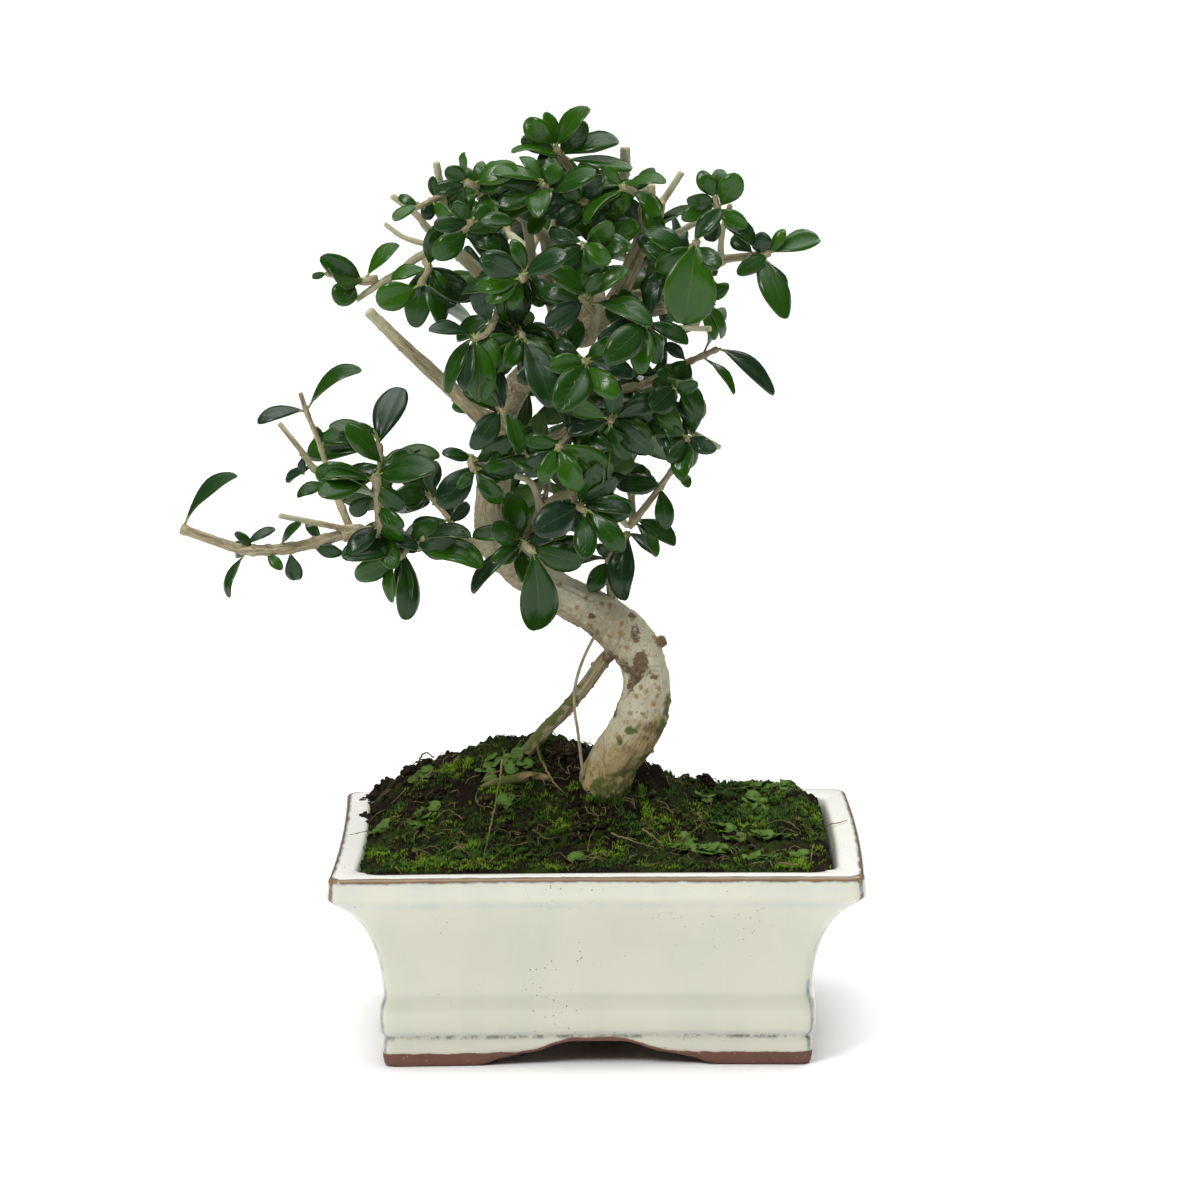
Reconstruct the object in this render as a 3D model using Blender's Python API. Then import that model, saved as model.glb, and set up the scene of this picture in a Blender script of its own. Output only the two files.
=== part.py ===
# Olive bonsai in a glazed pot: pot, drain screens, soil, tree and leafy sprays.
# Sizes here are millimetres and become metres when a mesh is made.

import math
import random

import bmesh
import bpy
from mathutils import Matrix, Vector, noise
from mathutils.bvhtree import BVHTree

MM = 0.001
GAP = 0.3

# Place and size of the pot
POT_HEIGHT = 70.0
WIDTH_LESS_DEPTH = 21.5
SIDE_BOW = 1.5
CORNER_STEPS = 2
SIDE_POINTS = (0.0,)
# Height and half width of the outside, from the foot up
POT_OUTSIDE = [
    (0.0, 72.3), (1.0, 73.3), (9.4, 73.5), (10.4, 73.0), (11.6, 74.4), (21.5, 74.4), (26.0, 73.1),
    (38.3, 74.8), (44.9, 76.8), (51.4, 80.0), (55.6, 83.3), (59.0, 87.2), (61.5, 89.6), (62.4, 91.0),
    (69.3, 90.4), (POT_HEIGHT, 89.6),
]
# Height and half width of the inside, from the lip down to the floor
POT_INSIDE = [(POT_HEIGHT, 82.0), (68.8, 81.2), (60.0, 79.3), (48.0, 72.5), (15.0, 66.0)]
OUTER_CORNER = 4.0
INNER_CORNER = 9.0
RECESS_HEIGHT = 8.6
SKIRT = 7.0
# Half of the arch between two feet: distance from the middle, height
ARCH = [(40.0, 0.0), (33.5, 2.4), (26.0, 4.0), (20.0, 4.7), (16.5, 6.3), (13.0, 7.7), (9.0, RECESS_HEIGHT)]
SIDE_ARCH_SCALE = 0.62
# How far the arch cutters and the drain cutters run
ARCH_REACH = 120.0
DRAIN_X = 32.0
DRAIN_RADIUS = 7.0
DRAIN_CUT = (5.0, 20.0)
DRAIN_SIDES = 16
SCREEN_SIDE = 22.0
SCREEN_THICK = 1.2
SCREEN_HOLES = 2
SCREEN_HOLE_SIDE = 7.0

# Soil mound: level at the rim, then hills as x, y, height, spread in x, spread in y
SOIL_LEVEL = 68.6
SOIL_HILLS = [
    (-18, 22, 28, 28, 26), (-60, 40, 11, 24, 20), (56, 42, 8, 34, 20), (8, 2, 7, 15, 12),
    (20, 13, 7, 8, 8),
]
SOIL_RINGS = (1.0, 0.975, 0.9, 0.76, 0.6, 0.44, 0.29, 0.15)
SOIL_ROUGH = 1.3
# A faceted hole is this much wider, so that its flats clear a round stem
HOLE_ROUND = 1.06
HOLE_SIDES = 10
# The trunk's points below the first height, and limbs that end below the second, stand in the soil
TRUNK_IN_SOIL = 112.0
LIMB_IN_SOIL = 95.0

# The point in front of the pot from which the outline of the tree was measured
EYE = Vector((2.0, -1683.0, 463.0))

# Trunk from the root to the first fork of the crown: x, height, depth, radius
TRUNK = [
    (1, 74, 2, 9.0), (2, 84, 2, 9.8), (4.5, 91, 1, 9.2), (7.5, 97.5, 0, 8.7), (13, 105, -2, 9.0),
    (16.5, 113, -3, 9.3), (18, 121, -3, 8.3), (17, 129, -2, 8.0), (14, 136, -1, 8.6),
    (8, 142.5, 0, 8.4), (0, 148.5, 1, 7.6), (-10, 154, 2, 7.0), (-20, 160, 2, 6.6), (-28, 166, 1, 6.4),
    (-33.5, 173, 0, 6.2), (-35.5, 181, -1, 6.0), (-34.5, 192, -1, 5.9), (-33, 205, 1, 5.6),
    (-32, 215, 3, 5.2), (-27, 226, 5, 4.8), (-18, 236, 5, 4.4), (-8, 243, 5, 3.8),
]
# Limbs, cut stubs and roots: first and last radius, then points as x, height, depth
LIMBS = [
    (3.6, 2.7, (-10, 241.5, 5), (2, 250, 4), (9, 259, 1), (14, 270, -2), (18, 281, -4), (19, 290, -4),
     (19.3, 297, -4)),
    (2.6, 2.5, (16.5, 276, -3), (21.5, 284, -7), (23, 291, -8)),
    (1.4, 1.3, (18.6, 284, -4), (25, 292, -6), (31, 301, -7)),
    (1.4, 1.3, (15, 272, -2), (26, 278, -6), (36, 284, -8)),
    (2.8, 1.9, (-8, 243, 5), (-1, 256, 10), (2, 268, 12), (3, 280, 10), (5, 288, 8), (9.5, 296, 6),
     (11.5, 302, 6), (11.5, 309.5, 6)),
    (2.7, 1.6, (-10, 241.5, 5), (-13, 254, 8), (-15, 266, 8), (-16, 278, 5), (-21, 283.5, 2),
     (-27, 287.5, -2), (-39, 293, -6)),
    (1.7, 1.3, (-15.5, 273, 6.5), (-12, 286, 6), (-9, 296, 5), (-7, 303, 4)),
    (1.8, 1.8, (-26, 249, -1), (-22, 262, -2), (-21, 274, -1), (-22.5, 285, 1)),
    (1.7, 1.5, (-28, 288, -2), (-34, 295, -4), (-38, 305, -5)),
    (3.4, 2.0, (-19, 235, 5), (-25, 246, 0), (-30, 256, -4), (-37, 265, -7), (-44, 272, -8),
     (-50, 277, -8)),
    (1.6, 1.4, (-47, 274.5, -8), (-49.5, 285, -9), (-53, 305, -11)),
    (1.6, 1.2, (-48, 275.5, -8), (-56, 282, -10), (-60, 287, -11), (-68.5, 293.5, -13)),
    (1.3, 1.0, (-47, 274.5, -8), (-58, 277, -6), (-65, 279.5, -5), (-71, 284, -4)),
    (1.8, 1.2, (-48, 275.5, -8), (-59, 272.5, -6), (-66, 267, -4), (-73, 263, -3), (-81, 257.5, -3)),
    (4.6, 2.3, (-32, 211, 2), (-40, 218.5, -2), (-48, 226, -4), (-62, 239, -7), (-77, 254, -10)),
    (1.8, 1.7, (-8, 242.5, 4), (-1, 243, -10), (1, 250, -18), (2.5, 257, -23)),
    (2.5, 2.1, (2.3, 256, -22.5), (2.6, 260, -24)),
    (3.0, 2.3, (-8, 243, 5), (4, 248, -6), (14, 252, -11), (25.5, 254.5, -14)),
    (2.4, 1.6, (7, 257, 2), (18, 259, 2), (27, 262, 0), (38, 267, -3), (46, 271, -5)),
    (1.3, 1.1, (44, 270, -4.5), (44.5, 280, -7), (47.5, 290, -9)),
    (1.3, 1.1, (7, 249, -8), (20, 247.5, -16), (41, 247, -20)),
    (3.4, 2.0, (-33, 204, 1), (-22, 206, 0), (-12, 209, -4), (-6, 214, -8), (0, 221, -9),
     (9, 225, -9)),
    (1.6, 1.1, (3, 222.5, -9), (14, 221, -11), (24, 217, -12), (35, 210.5, -13), (44, 205.5, -14)),
    (1.8, 1.7, (-30, 168, -2), (-24, 175, -9), (-18, 184, -13), (-12, 189, -15), (-5, 189.5, -16),
     (8.5, 185, -17)),
    (1.5, 1.3, (0, 188, -16), (8, 182.5, -13), (12, 178, -11)),
    (1.5, 1.2, (-18.5, 183, -12.5), (-19.5, 190, -17), (-23, 195, -19), (-33, 198.5, -21),
     (-47, 205, -23)),
    (1.4, 1.4, (-27.5, 196, -19.6), (-27.5, 203.5, -21)),
    (3.3, 2.8, (-31, 170, 0), (-40, 171.5, -1), (-48, 173, -1), (-55, 173.5, -1), (-66, 172.5, -2),
     (-75, 175.5, -2), (-82, 177, -2)),
    (3.4, 3.0, (-80.5, 176.7, -2), (-87, 176.5, -2.5)),
    (1.3, 1.15, (-83, 177.5, -3), (-97, 180.5, -8), (-109, 183, -11)),
    (1.9, 1.6, (17, 135, -3), (25.5, 138.5, -5)),
    (2.6, 2.4, (9, 137, 3), (3, 131, 5), (-2, 124, 7), (-6, 119, 8), (-11, 113, 9), (-19, 105, 11),
     (-30, 91, 14)),
    (0.6, 0.55, (3, 145.5, -5), (-2, 136, -8), (-5, 129, -8), (-7, 121, -8), (-7, 113, -7),
     (-6, 106, -6), (-4, 88, -4)),
    (2.2, 1.5, (-16, 264, 8), (-20, 272, 24), (-28, 280, 38)),
    (2.4, 1.5, (1, 249, 4), (6, 256, 18), (12, 261, 31), (18, 264, 42)),
    (2.4, 1.5, (-29, 222, 3), (-32, 230, 16), (-36, 237, 28), (-40, 243, 38)),
    (2.2, 1.4, (-10, 241.5, 5), (-3, 235, 20), (6, 231, 36)),
    (2.2, 1.4, (-34, 195, 0), (-27, 199, 16), (-17, 202, 29), (-6, 201, 39)),
    (1.8, 1.4, (-24, 229.5, 4), (-20, 230, -12), (-15, 233, -24)),
    (1.8, 1.4, (-2, 255, 9), (4, 266, 24), (4, 278, 34)),
]

# Leafy sprays: twigs as radii and points, then leaves as base, tip and width seen from the front
SPRAYS = [
    ("far_left", [
        (2.0, 1.7, (-86, 176.4, -2.5), (-100, 172.5, -5), (-110, 171, -7), (-120, 171, -8),
         (-127.5, 173, -8), (-142.5, 178.5, -10)),
    ], [
        (-141, 181, -122.5, 196.5, 4.5), (-120, 173, -110, 178.5, 3), (-108, 173, -101, 180, 3),
        (-113, 170, -108, 164, 4), (-105, 170, -103, 160, 6), (-97, 172, -87, 169.5, 5),
        (-121, 169, -127.5, 155, 3), (-118, 172, -124, 177, 3), (-94, 174, -99, 181, 4),
    ]),
    ("left_rise", [
        (1.4, 0.9, (-84, 178, 1), (-90, 192, 4), (-97, 200, 5), (-101, 206, 6), (-108, 215, 8)),
        (1.0, 0.8, (-90, 192, 4), (-94, 207, 3), (-98.5, 219, 1), (-100.5, 225.5, 0)),
    ], [
        (-99.5, 219.5, -115.5, 216, 3.8), (-97.5, 221, -81, 234.5, 4), (-97, 200, -106, 195, 3),
        (-92, 194, -102.5, 190, 4), (-100, 204, -100, 197, 3), (-93, 208, -96, 214, 3),
    ]),
    ("left_rosette", [
        (1.7, 1.3, (-73, 172, -5), (-74, 180, -16), (-75, 197, -20)),
    ], [
        (-76, 196, -96, 198, 9.5), (-74, 197, -54.5, 199, 8), (-73, 201, -86, 214, 7),
        (-76, 195, -95, 190, 7), (-75, 193, -66, 185, 7), (-76, 190, -84, 183, 6),
        (-74, 199, -64, 205, 5), (-75, 185, -66, 179, 6),
    ]),
    ("left_top", [
        (1.5, 1.2, (-69, 174, 1), (-72, 190, 8), (-74, 208, 10)),
    ], [
        (-74, 207.5, -66, 227, 10), (-75, 213, -83.5, 212, 6), (-76, 206, -99, 206, 8.5),
        (-76, 209, -94, 210, 6), (-75, 211, -91, 214, 4), (-72, 203, -53, 204, 4.5),
        (-73, 200, -88, 193, 7), (-71, 190, -58, 190, 8),
    ]),
    ("left_low", [
        (1.3, 1.1, (-62, 173, -2), (-64, 172, -10), (-67, 168, -14)),
        (1.0, 1.0, (-64, 172, -10), (-58, 175, -15)),
    ], [
        (-66, 170, -65, 146, 7), (-69, 167, -70, 152, 4), (-68, 168, -83, 161, 8),
        (-66, 171, -87, 168, 7), (-61, 174, -48, 172, 11), (-64, 173, -54, 180, 7),
        (-60, 171, -39, 166, 7), (-58, 175, -43, 176, 3.5),
    ]),
    ("left_inner", [
        (1.1, 0.9, (-47, 173, 0), (-48, 178, 6), (-52, 184, 9), (-57, 190, 11)),
    ], [
        (-50, 180, -43, 187, 5), (-55, 187, -44, 184, 6), (-57, 190, -67, 187, 8),
        (-57, 190, -55, 202, 7), (-50, 181, -63, 176, 7),
    ]),
    ("trunk_front", [
        (1.4, 1.1, (-26.5, 171.5, -7), (-24, 172, -15), (-21, 170, -20)),
    ], [
        (-21, 170, -19.5, 142, 13), (-22, 171, -4, 166, 10), (-24, 173, -43, 156, 4.5),
        (-24, 174, -42, 176, 4.5), (-23, 173, -10, 176, 5),
    ]),
    ("trunk_top", [
        (1.8, 1.2, (7, 149, 0), (5.5, 160, 1), (6, 170, 2), (12, 176, 1)),
    ], [
        (5, 166, -1.5, 156, 7), (12, 175, 9.5, 152.5, 9), (5, 167, -9, 165, 2), (6, 168, 1, 172, 4),
        (10, 174, 2, 180, 7), (12, 176, 22, 168, 4),
    ]),
    ("low_right", [
        (1.3, 1.0, (12, 178, -11), (20, 188, -11), (27.5, 198.5, -11)),
        (1.3, 1.2, (13.5, 180, -11), (13, 191, -8)),
    ], [
        (23, 192, 25, 177, 6.5), (23, 193, 9, 192.5, 7), (15, 181, 28.5, 172, 6),
        (14, 180, 22, 168, 3.5), (28, 199, 27, 211, 6.5), (28.5, 199, 33, 192, 3),
        (29, 200, 33.5, 210, 4.5), (13, 190, 7, 197, 5), (13, 191, 17, 200, 5),
    ]),
    ("low_centre", [
        (1.2, 1.0, (-7, 190, -16), (-6, 186, -23), (-3, 184, -27)),
    ], [
        (-5, 186, -20, 177, 12), (-1, 184, 10, 170, 8), (-3, 183, -3, 167, 8), (-5, 188, 3, 190, 4),
        (-4, 187, 13, 184, 6),
    ]),
    ("centre_left", [
        (1.2, 1.0, (-31, 199, -21), (-28, 206, -25), (-31, 218, -27), (-36, 224, -27)),
    ], [
        (-30, 219, -25, 204, 6.5), (-32, 219, -41.5, 206, 8.5), (-31, 219, -38, 237, 6),
        (-28, 205, -37, 198, 6), (-29, 208, -21, 213, 5), (-34, 223, -42, 229, 5),
    ]),
    ("low_left_in", [
        (1.2, 1.0, (-42, 203, -22), (-42, 200, -26), (-41, 198, -28)),
    ], [
        (-41, 200, -53, 186, 10), (-41, 198, -33, 189, 6), (-41, 198, -47, 192, 4),
        (-42, 202, -52, 205, 4),
    ]),
    ("middle_low", [
        (1.3, 1.0, (-6, 213, -9), (-8, 210, -19), (-12, 206, -27)),
    ], [
        (-12, 207, 6, 197, 10.5), (-8, 209, 6, 206, 7), (-12, 205, -24, 197, 8),
        (-12, 206, -5, 191, 8), (-12, 207, -24, 209, 6), (-13, 206, -18, 194, 6),
    ]),
    ("middle_right", [
        (1.3, 1.0, (7, 223.5, -10), (7, 218, -18), (6, 215, -23)),
    ], [
        (6, 216, 20, 208.5, 9), (6, 216, -9, 211, 5.5), (7, 217, 22, 218, 7), (6, 214, 12, 202, 7),
        (6, 214, 4, 191, 8.5), (7, 220, -3, 214, 4.5),
    ]),
    ("right_low", [
        (1.2, 1.0, (25, 216.5, -13), (27, 221, -18), (28, 227, -20)),
    ], [
        (28, 227, 38.5, 216, 6), (28, 227, 20, 219, 9.5), (27, 222, 33, 216, 3), (26, 218, 24, 206, 7),
        (28, 228, 22, 235, 5), (28, 226, 36, 228, 5),
    ]),
    ("right_cut", [
        (1.0, 0.9, (36, 210, -13.5), (34, 208, -19), (32, 209, -22)),
    ], [
        (33, 209, 42, 205, 6), (32, 210, 33.5, 198, 4.5), (32, 209, 26, 201, 6), (32, 210, 24, 213, 5),
    ]),
    ("right_mid", [
        (1.5, 1.0, (9, 226, -9), (18, 228, -7), (24, 231, -6), (33, 235.5, -6), (43, 240, -7)),
    ], [
        (44, 240, 62, 224, 5.2), (38, 237, 48.5, 224, 2.2), (33, 236, 27, 228, 8.5),
        (25, 232, 17, 246, 5), (18, 228, 9, 226, 9), (22, 231, 14, 235, 5), (32, 236, 25, 242, 4),
        (20, 229, 30, 226, 7), (14, 227, 20, 216, 8),
    ]),
    ("crown_front", [
        (1.3, 1.0, (-15, 233, -24), (-9, 236, -30), (-2, 236, -33)),
    ], [
        (-2, 235, -12, 219, 11.5), (-1, 236, 14, 231, 6), (-2, 234, 8, 224, 8), (-3, 237, -15, 234, 7),
        (-4, 238, -13, 243, 5), (-1, 237, 5, 244, 5), (-12, 235, -14, 222, 9), (-12, 236, -22, 228, 8),
    ]),
    ("hang_left", [
        (1.3, 1.0, (-31, 257, -6), (-33, 252, -16), (-36, 246, -22), (-41, 244, -24)),
    ], [
        (-40, 244, -38, 222, 11), (-36, 247, -36, 232, 8), (-42, 244, -50, 225, 5.5),
        (-33, 252, -47, 244, 6), (-41, 245, -56, 247, 3.5), (-33, 251, -31, 235, 7),
        (-41, 243, -44, 226, 6),
    ]),
    ("hang_mid", [
        (1.2, 1.0, (-27, 250, -2), (-25, 246, -14), (-24, 245, -20)),
    ], [
        (-24, 244, -14, 221, 10.5), (-24, 246, -32, 232, 6.5), (-24, 245, -22, 230, 7),
        (-25, 247, -13, 243, 6), (-25, 248, -35, 250, 5),
    ]),
    ("left_tip", [
        (1.4, 1.0, (-73.5, 265, -3), (-79, 264, -4), (-85, 265.5, -5), (-91, 267, -6)),
    ], [
        (-79, 265, -93, 272.5, 8), (-77, 266, -66, 276.5, 5), (-82, 265, -87, 256, 9),
        (-91, 267, -96, 265.5, 2.5), (-90, 267, -87, 271, 3),
    ]),
    ("left_hang", [
        (1.3, 1.0, (-57, 271, -7), (-56, 268, -13), (-59, 263, -17)),
    ], [
        (-57, 269, -61, 248, 9.5), (-60, 262, -74, 257, 10), (-56, 268, -69, 265, 4.5),
        (-56, 267, -52, 249, 7), (-57, 268, -51, 261, 6),
    ]),
    ("left_crown", [
        (1.3, 1.0, (-46.5, 276.5, -8), (-44, 281, -17), (-41, 285, -22)),
    ], [
        (-44, 279, -28, 276, 7), (-42, 284, -54, 283, 6), (-41, 285, -35, 289, 5.5),
        (-41, 285, -47, 291, 5), (-43, 281, -54, 272, 8.5), (-43, 281, -31, 285, 6),
    ]),
    ("left_spikes", [
        (1.1, 0.9, (-51, 293, -10), (-56, 291, -16), (-60, 289, -19)),
    ], [
        (-55, 292, -56.5, 285, 5), (-59, 290, -68, 285, 3.5), (-59, 290, -66, 293, 3.5),
        (-54, 293, -54, 300, 3.5),
    ]),
    ("top_left", [
        (1.2, 1.0, (-33.5, 293.5, -4), (-39, 296, -12), (-43, 298, -16)),
    ], [
        (-42, 299, -50, 302, 6), (-42, 297, -54, 295, 5.5), (-43, 299, -43, 308, 3),
        (-40, 296, -37, 305, 4), (-39, 295, -30, 297, 5), (-43, 297, -47, 288, 6),
    ]),
    ("rosette_left", [
        (1.2, 1.0, (-21.7, 268, -2), (-24, 264, -16), (-24, 265.5, -26)),
    ], [
        (-24, 266, -38, 272, 9.5), (-23, 266, -8.5, 273, 7), (-25, 264, -45, 260, 5),
        (-24, 264, -28, 254, 5), (-22, 262, -9, 257.5, 5), (-23, 267, -27, 278, 5),
        (-24, 264, -36, 257, 6), (-22, 264, -17, 255, 6),
    ]),
    ("knob_leaves", [
        (1.1, 0.9, (1, 252, -19), (-2, 256, -24), (-4, 258, -27)),
    ], [
        (-3, 259, -15, 267.5, 6), (-3, 257, -16, 248, 8.5), (0, 256, 20, 249.5, 5),
        (-3, 259, 3, 266, 5),
    ]),
    ("cut_leaves", [
        (1.0, 0.9, (20, 249, -16), (18, 251, -24), (18, 249, -29)),
    ], [
        (18, 249, 5, 236, 10.5), (19, 249, 33, 242, 5.5), (18, 248, 23.5, 234, 5),
        (18, 251, 11, 258, 5),
    ]),
    ("big_leaf", [
        (1.4, 1.2, (27, 263, -1), (31, 270, -12), (36, 277, -20)),
    ], [
        (36, 277, 31, 248.5, 17.5), (34, 275, 22, 267, 8), (35, 277, 44, 288, 6),
        (32, 272, 22, 276, 6), (35, 275, 44, 268, 7),
    ]),
    ("right_hang", [
        (1.1, 0.9, (35, 247.6, -19.5), (37, 252, -16), (39, 257, -14)),
    ], [
        (39, 256, 45.5, 244, 3.8), (37, 253, 42, 243, 4), (39, 257, 47, 262, 5), (37, 252, 31, 246, 4),
    ]),
    ("right_tip", [
        (1.5, 1.1, (45.5, 271, -5), (55, 272, -7), (61, 273, -8)),
    ], [
        (61, 273, 78, 277.5, 7), (57, 272, 66, 250, 9), (58, 272, 58, 280, 7), (60, 272, 50, 266, 6),
        (55, 273, 48, 279, 6), (57, 274, 46, 283, 5), (61, 273, 66, 281, 4),
    ]),
    ("right_top", [
        (1.2, 1.0, (45.5, 285, -8.5), (43, 288, -14), (42, 292, -16)),
    ], [
        (44, 289, 50, 300, 8.5), (42, 292, 37, 301, 6), (42, 291, 33, 291, 5.5), (43, 292, 44, 302, 6),
        (43, 288, 53, 282, 6), (43, 287, 40, 277, 6), (42, 290, 31, 285, 6),
    ]),
    ("top_right", [
        (1.2, 1.0, (19, 292.5, -4), (15, 294, -10), (10, 296, -12)),
    ], [
        (11, 296, 25, 298, 3), (13, 295, 8, 287, 6), (10, 296, 0, 297, 4), (14, 294, 24, 288, 5),
        (10, 296, 5, 303, 4), (15, 294, 21, 302, 4),
    ]),
    ("top_rosette", [
        (1.4, 1.0, (-7.4, 302, 4), (-10, 306, 2), (-12, 309.5, 1)),
    ], [
        (-12, 310, -0.5, 322.5, 6.8), (-13, 310, -22, 319, 9), (-12, 310, -16, 321.5, 5),
        (-12, 308, -24, 312.5, 6), (-10, 307, 9, 312.5, 6.5), (-10, 307, -2, 318, 8),
        (-9, 305, 14, 302, 3.5), (-10, 306, -27, 309, 2.5),
    ]),
    ("top_middle", [
        (1.2, 1.0, (-11.5, 288, 6), (-14, 293, -3), (-17, 297, -9)),
    ], [
        (-15, 296, -12, 304, 8), (-17, 297, -35, 293.5, 8.5), (-13, 292, -5, 288, 5),
        (-14, 294, 1, 301, 6), (-17, 298, -33, 302, 3.5), (-14, 293, -25, 286, 7),
        (-17, 298, -24, 307, 4),
    ]),
    ("top_inner", [
        (1.2, 1.0, (4, 286, 8.5), (0, 289, 0), (-3, 291, -6)),
    ], [
        (-3, 292, 4, 299.5, 7), (-2, 291, 3, 283, 7), (-3, 290, -12, 283, 6), (0, 289, 12, 284, 5),
        (-3, 291, -10, 297, 6), (-2, 290, 10, 292, 6),
    ]),
    ("inner_front", [
        (1.3, 1.0, (2.5, 273, 11.5), (0, 275, -2), (-3, 276, -14)),
    ], [
        (-3, 276, 3, 265, 8), (-3, 277, -15, 281, 6), (-2, 275, 7, 284, 7), (-3, 275, -13, 268, 7),
        (-1, 275, 14, 275, 6), (-3, 277, 6, 270, 7),
    ]),
]
# Twigs that leaf out by rule, deeper in the crown: radii, leaf length, pairs, points
RULE_TWIGS = [
    (1.2, 0.9, 19, 3, (-28, 279.5, 38), (-30, 284, 46), (-33, 288, 51)),
    (1.2, 0.9, 19, 2, (-21, 272.5, 26), (-18, 281, 36), (-14, 289, 42)),
    (1.2, 0.9, 19, 2, (18, 264, 42), (24, 268, 48), (30, 271, 50)),
    (1.2, 0.9, 18, 2, (11, 261, 29), (16, 271, 36), (18, 281, 38)),
    (1.2, 0.9, 20, 3, (-40, 243, 38), (-38, 250, 44), (-36, 258, 47)),
    (1.2, 0.9, 20, 2, (-36, 237, 28), (-32, 228, 36), (-30, 219, 42)),
    (1.2, 0.9, 17, 2, (6, 231, 36), (11, 231, 43), (16, 230, 47)),
    (1.2, 0.9, 20, 2, (0, 233, 27), (-2, 224, 37), (-4, 215, 44)),
    (1.2, 0.9, 19, 2, (-6, 201, 39), (-2, 199, 46), (3, 198, 50)),
    (1.2, 0.9, 18, 2, (-22, 200.5, 22), (-24, 204, 33), (-27, 209, 41)),
    (1.2, 0.9, 18, 2, (4, 278, 34), (1, 286, 40), (-1, 294, 42)),
    (1.2, 0.9, 18, 2, (5, 262, 18), (-3, 265, 32), (-9, 263, 44)),
    (1.2, 0.9, 18, 2, (-24, 268, 30), (-32, 267, 38), (-38, 266, 42)),
    (1.2, 0.9, 18, 2, (-17, 202, 29), (-16, 194, 38), (-17, 187, 44)),
    (1.2, 0.9, 17, 2, (7, 230.5, 34), (9, 222, 34), (12, 214, 36)),
    (1.2, 0.9, 17, 2, (27, 262, 0), (28, 262, 12), (28, 262, 20)),
    (1.2, 0.9, 18, 2, (-64, 172.5, -2), (-67, 178, 12), (-71, 185, 22)),
]
# A spray stands this much farther from its limb in depth than its points say
SPRAY_REACH = 1.6
TWIG_SIDES = 4
LEAF_THICK = 0.7
LEAF_WIDTH_RATIO = 0.46
# A stalk's width, how far it starts along the leaf and how far it stays from a twig's ends
STALK = 0.95
STALK_LEAD = 0.2
SUNK = 0.9
SMALL_LEAF_STATIONS = [(0.26, 0.84), (0.72, 0.9)]
LARGE_LEAF_STATIONS = [(0.2, 0.72), (0.5, 1.0), (0.82, 0.76)]
LARGE_LEAF = 10.5
ARCH_SHARE = 0.09
# How far a leaf's tip leans in depth, as shares of its length, and where the crown's middle lies
LEAN = (-0.75, 0.35)
CROWN_MIDDLE = 5.0
# Leaves set by rule: where the first pair stands, opening and turn in degrees, droop, size and start
FIRST_PAIR = 0.35
PAIR_OPENING = (42, 62)
PAIR_TURN = 90
PAIR_SWAY = 18
PAIR_DROOP = (-0.35, 0.1)
PAIR_SIZE = (0.8, 1.15)
PAIR_STALK = 1.5
# Depths and turns tried for a leaf until it clears the other pieces
DEPTH_TRIES = (0, 3, -3, 6, -6, 9, -9, 12, -12)
ANGLE_TRIES = (0, 20, -20, 40, -40, 60, -60)
TRIM_STEPS = 90
SEED = 40

COLOURS = {
    "pot": ((0.72, 0.70, 0.60, 1), 0.25),
    "screen": ((0.02, 0.02, 0.02, 1), 0.6),
    "soil": ((0.03, 0.022, 0.014, 1), 0.95),
    "bark": ((0.42, 0.37, 0.27, 1), 0.8),
    "leaf": ((0.02, 0.09, 0.02, 1), 0.4),
}


# Scene and material helpers

def clear_scene():
    for item in list(bpy.data.objects):
        bpy.data.objects.remove(item, do_unlink=True)


def make_material(name):
    colour, roughness = COLOURS[name]
    material = bpy.data.materials.new(name)
    material.use_nodes = True
    shader = material.node_tree.nodes["Principled BSDF"]
    shader.inputs["Base Color"].default_value = colour
    shader.inputs["Roughness"].default_value = roughness
    return material


def add_collection(name, hidden):
    made = bpy.data.collections.new(name)
    made.hide_render = hidden
    bpy.context.scene.collection.children.link(made)
    return made


def add_object(name, mesh, collection):
    made = bpy.data.objects.new(name, mesh)
    collection.objects.link(made)
    return made


def seen(x, height, depth):
    """The point at this depth that stands at x and height when seen from the front."""
    flat = Vector((x, 0.0, height))
    return EYE + (flat - EYE) * ((depth - EYE.y) / -EYE.y)


# Mesh helpers

def loft_faces(rings):
    """Points and faces through rings of points; a ring of one or two points draws the loft together."""
    width = max(len(ring) for ring in rings)
    points, rows, faces = [], [], []
    for ring in rings:
        rows.append([len(points) + i * len(ring) // width for i in range(width)])
        points.extend(Vector(p) * MM for p in ring)
    for low, high in zip(rows, rows[1:]):
        for i in range(width):
            j = (i + 1) % width
            faces.append(list(dict.fromkeys((low[i], low[j], high[j], high[i]))))
    for row in (rows[0], rows[-1]):
        faces.append(list(dict.fromkeys(row)))
    return points, [face for face in faces if len(face) > 2]


def loft(rings):
    """A closed mesh through rings of points."""
    points, faces = loft_faces(rings)
    bm = bmesh.new()
    corners = [bm.verts.new(point) for point in points]
    for face in faces:
        bm.faces.new([corners[i] for i in face])
    bmesh.ops.recalc_face_normals(bm, faces=bm.faces)
    mesh = bpy.data.meshes.new("loft")
    bm.to_mesh(mesh)
    bm.free()
    return mesh


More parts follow.
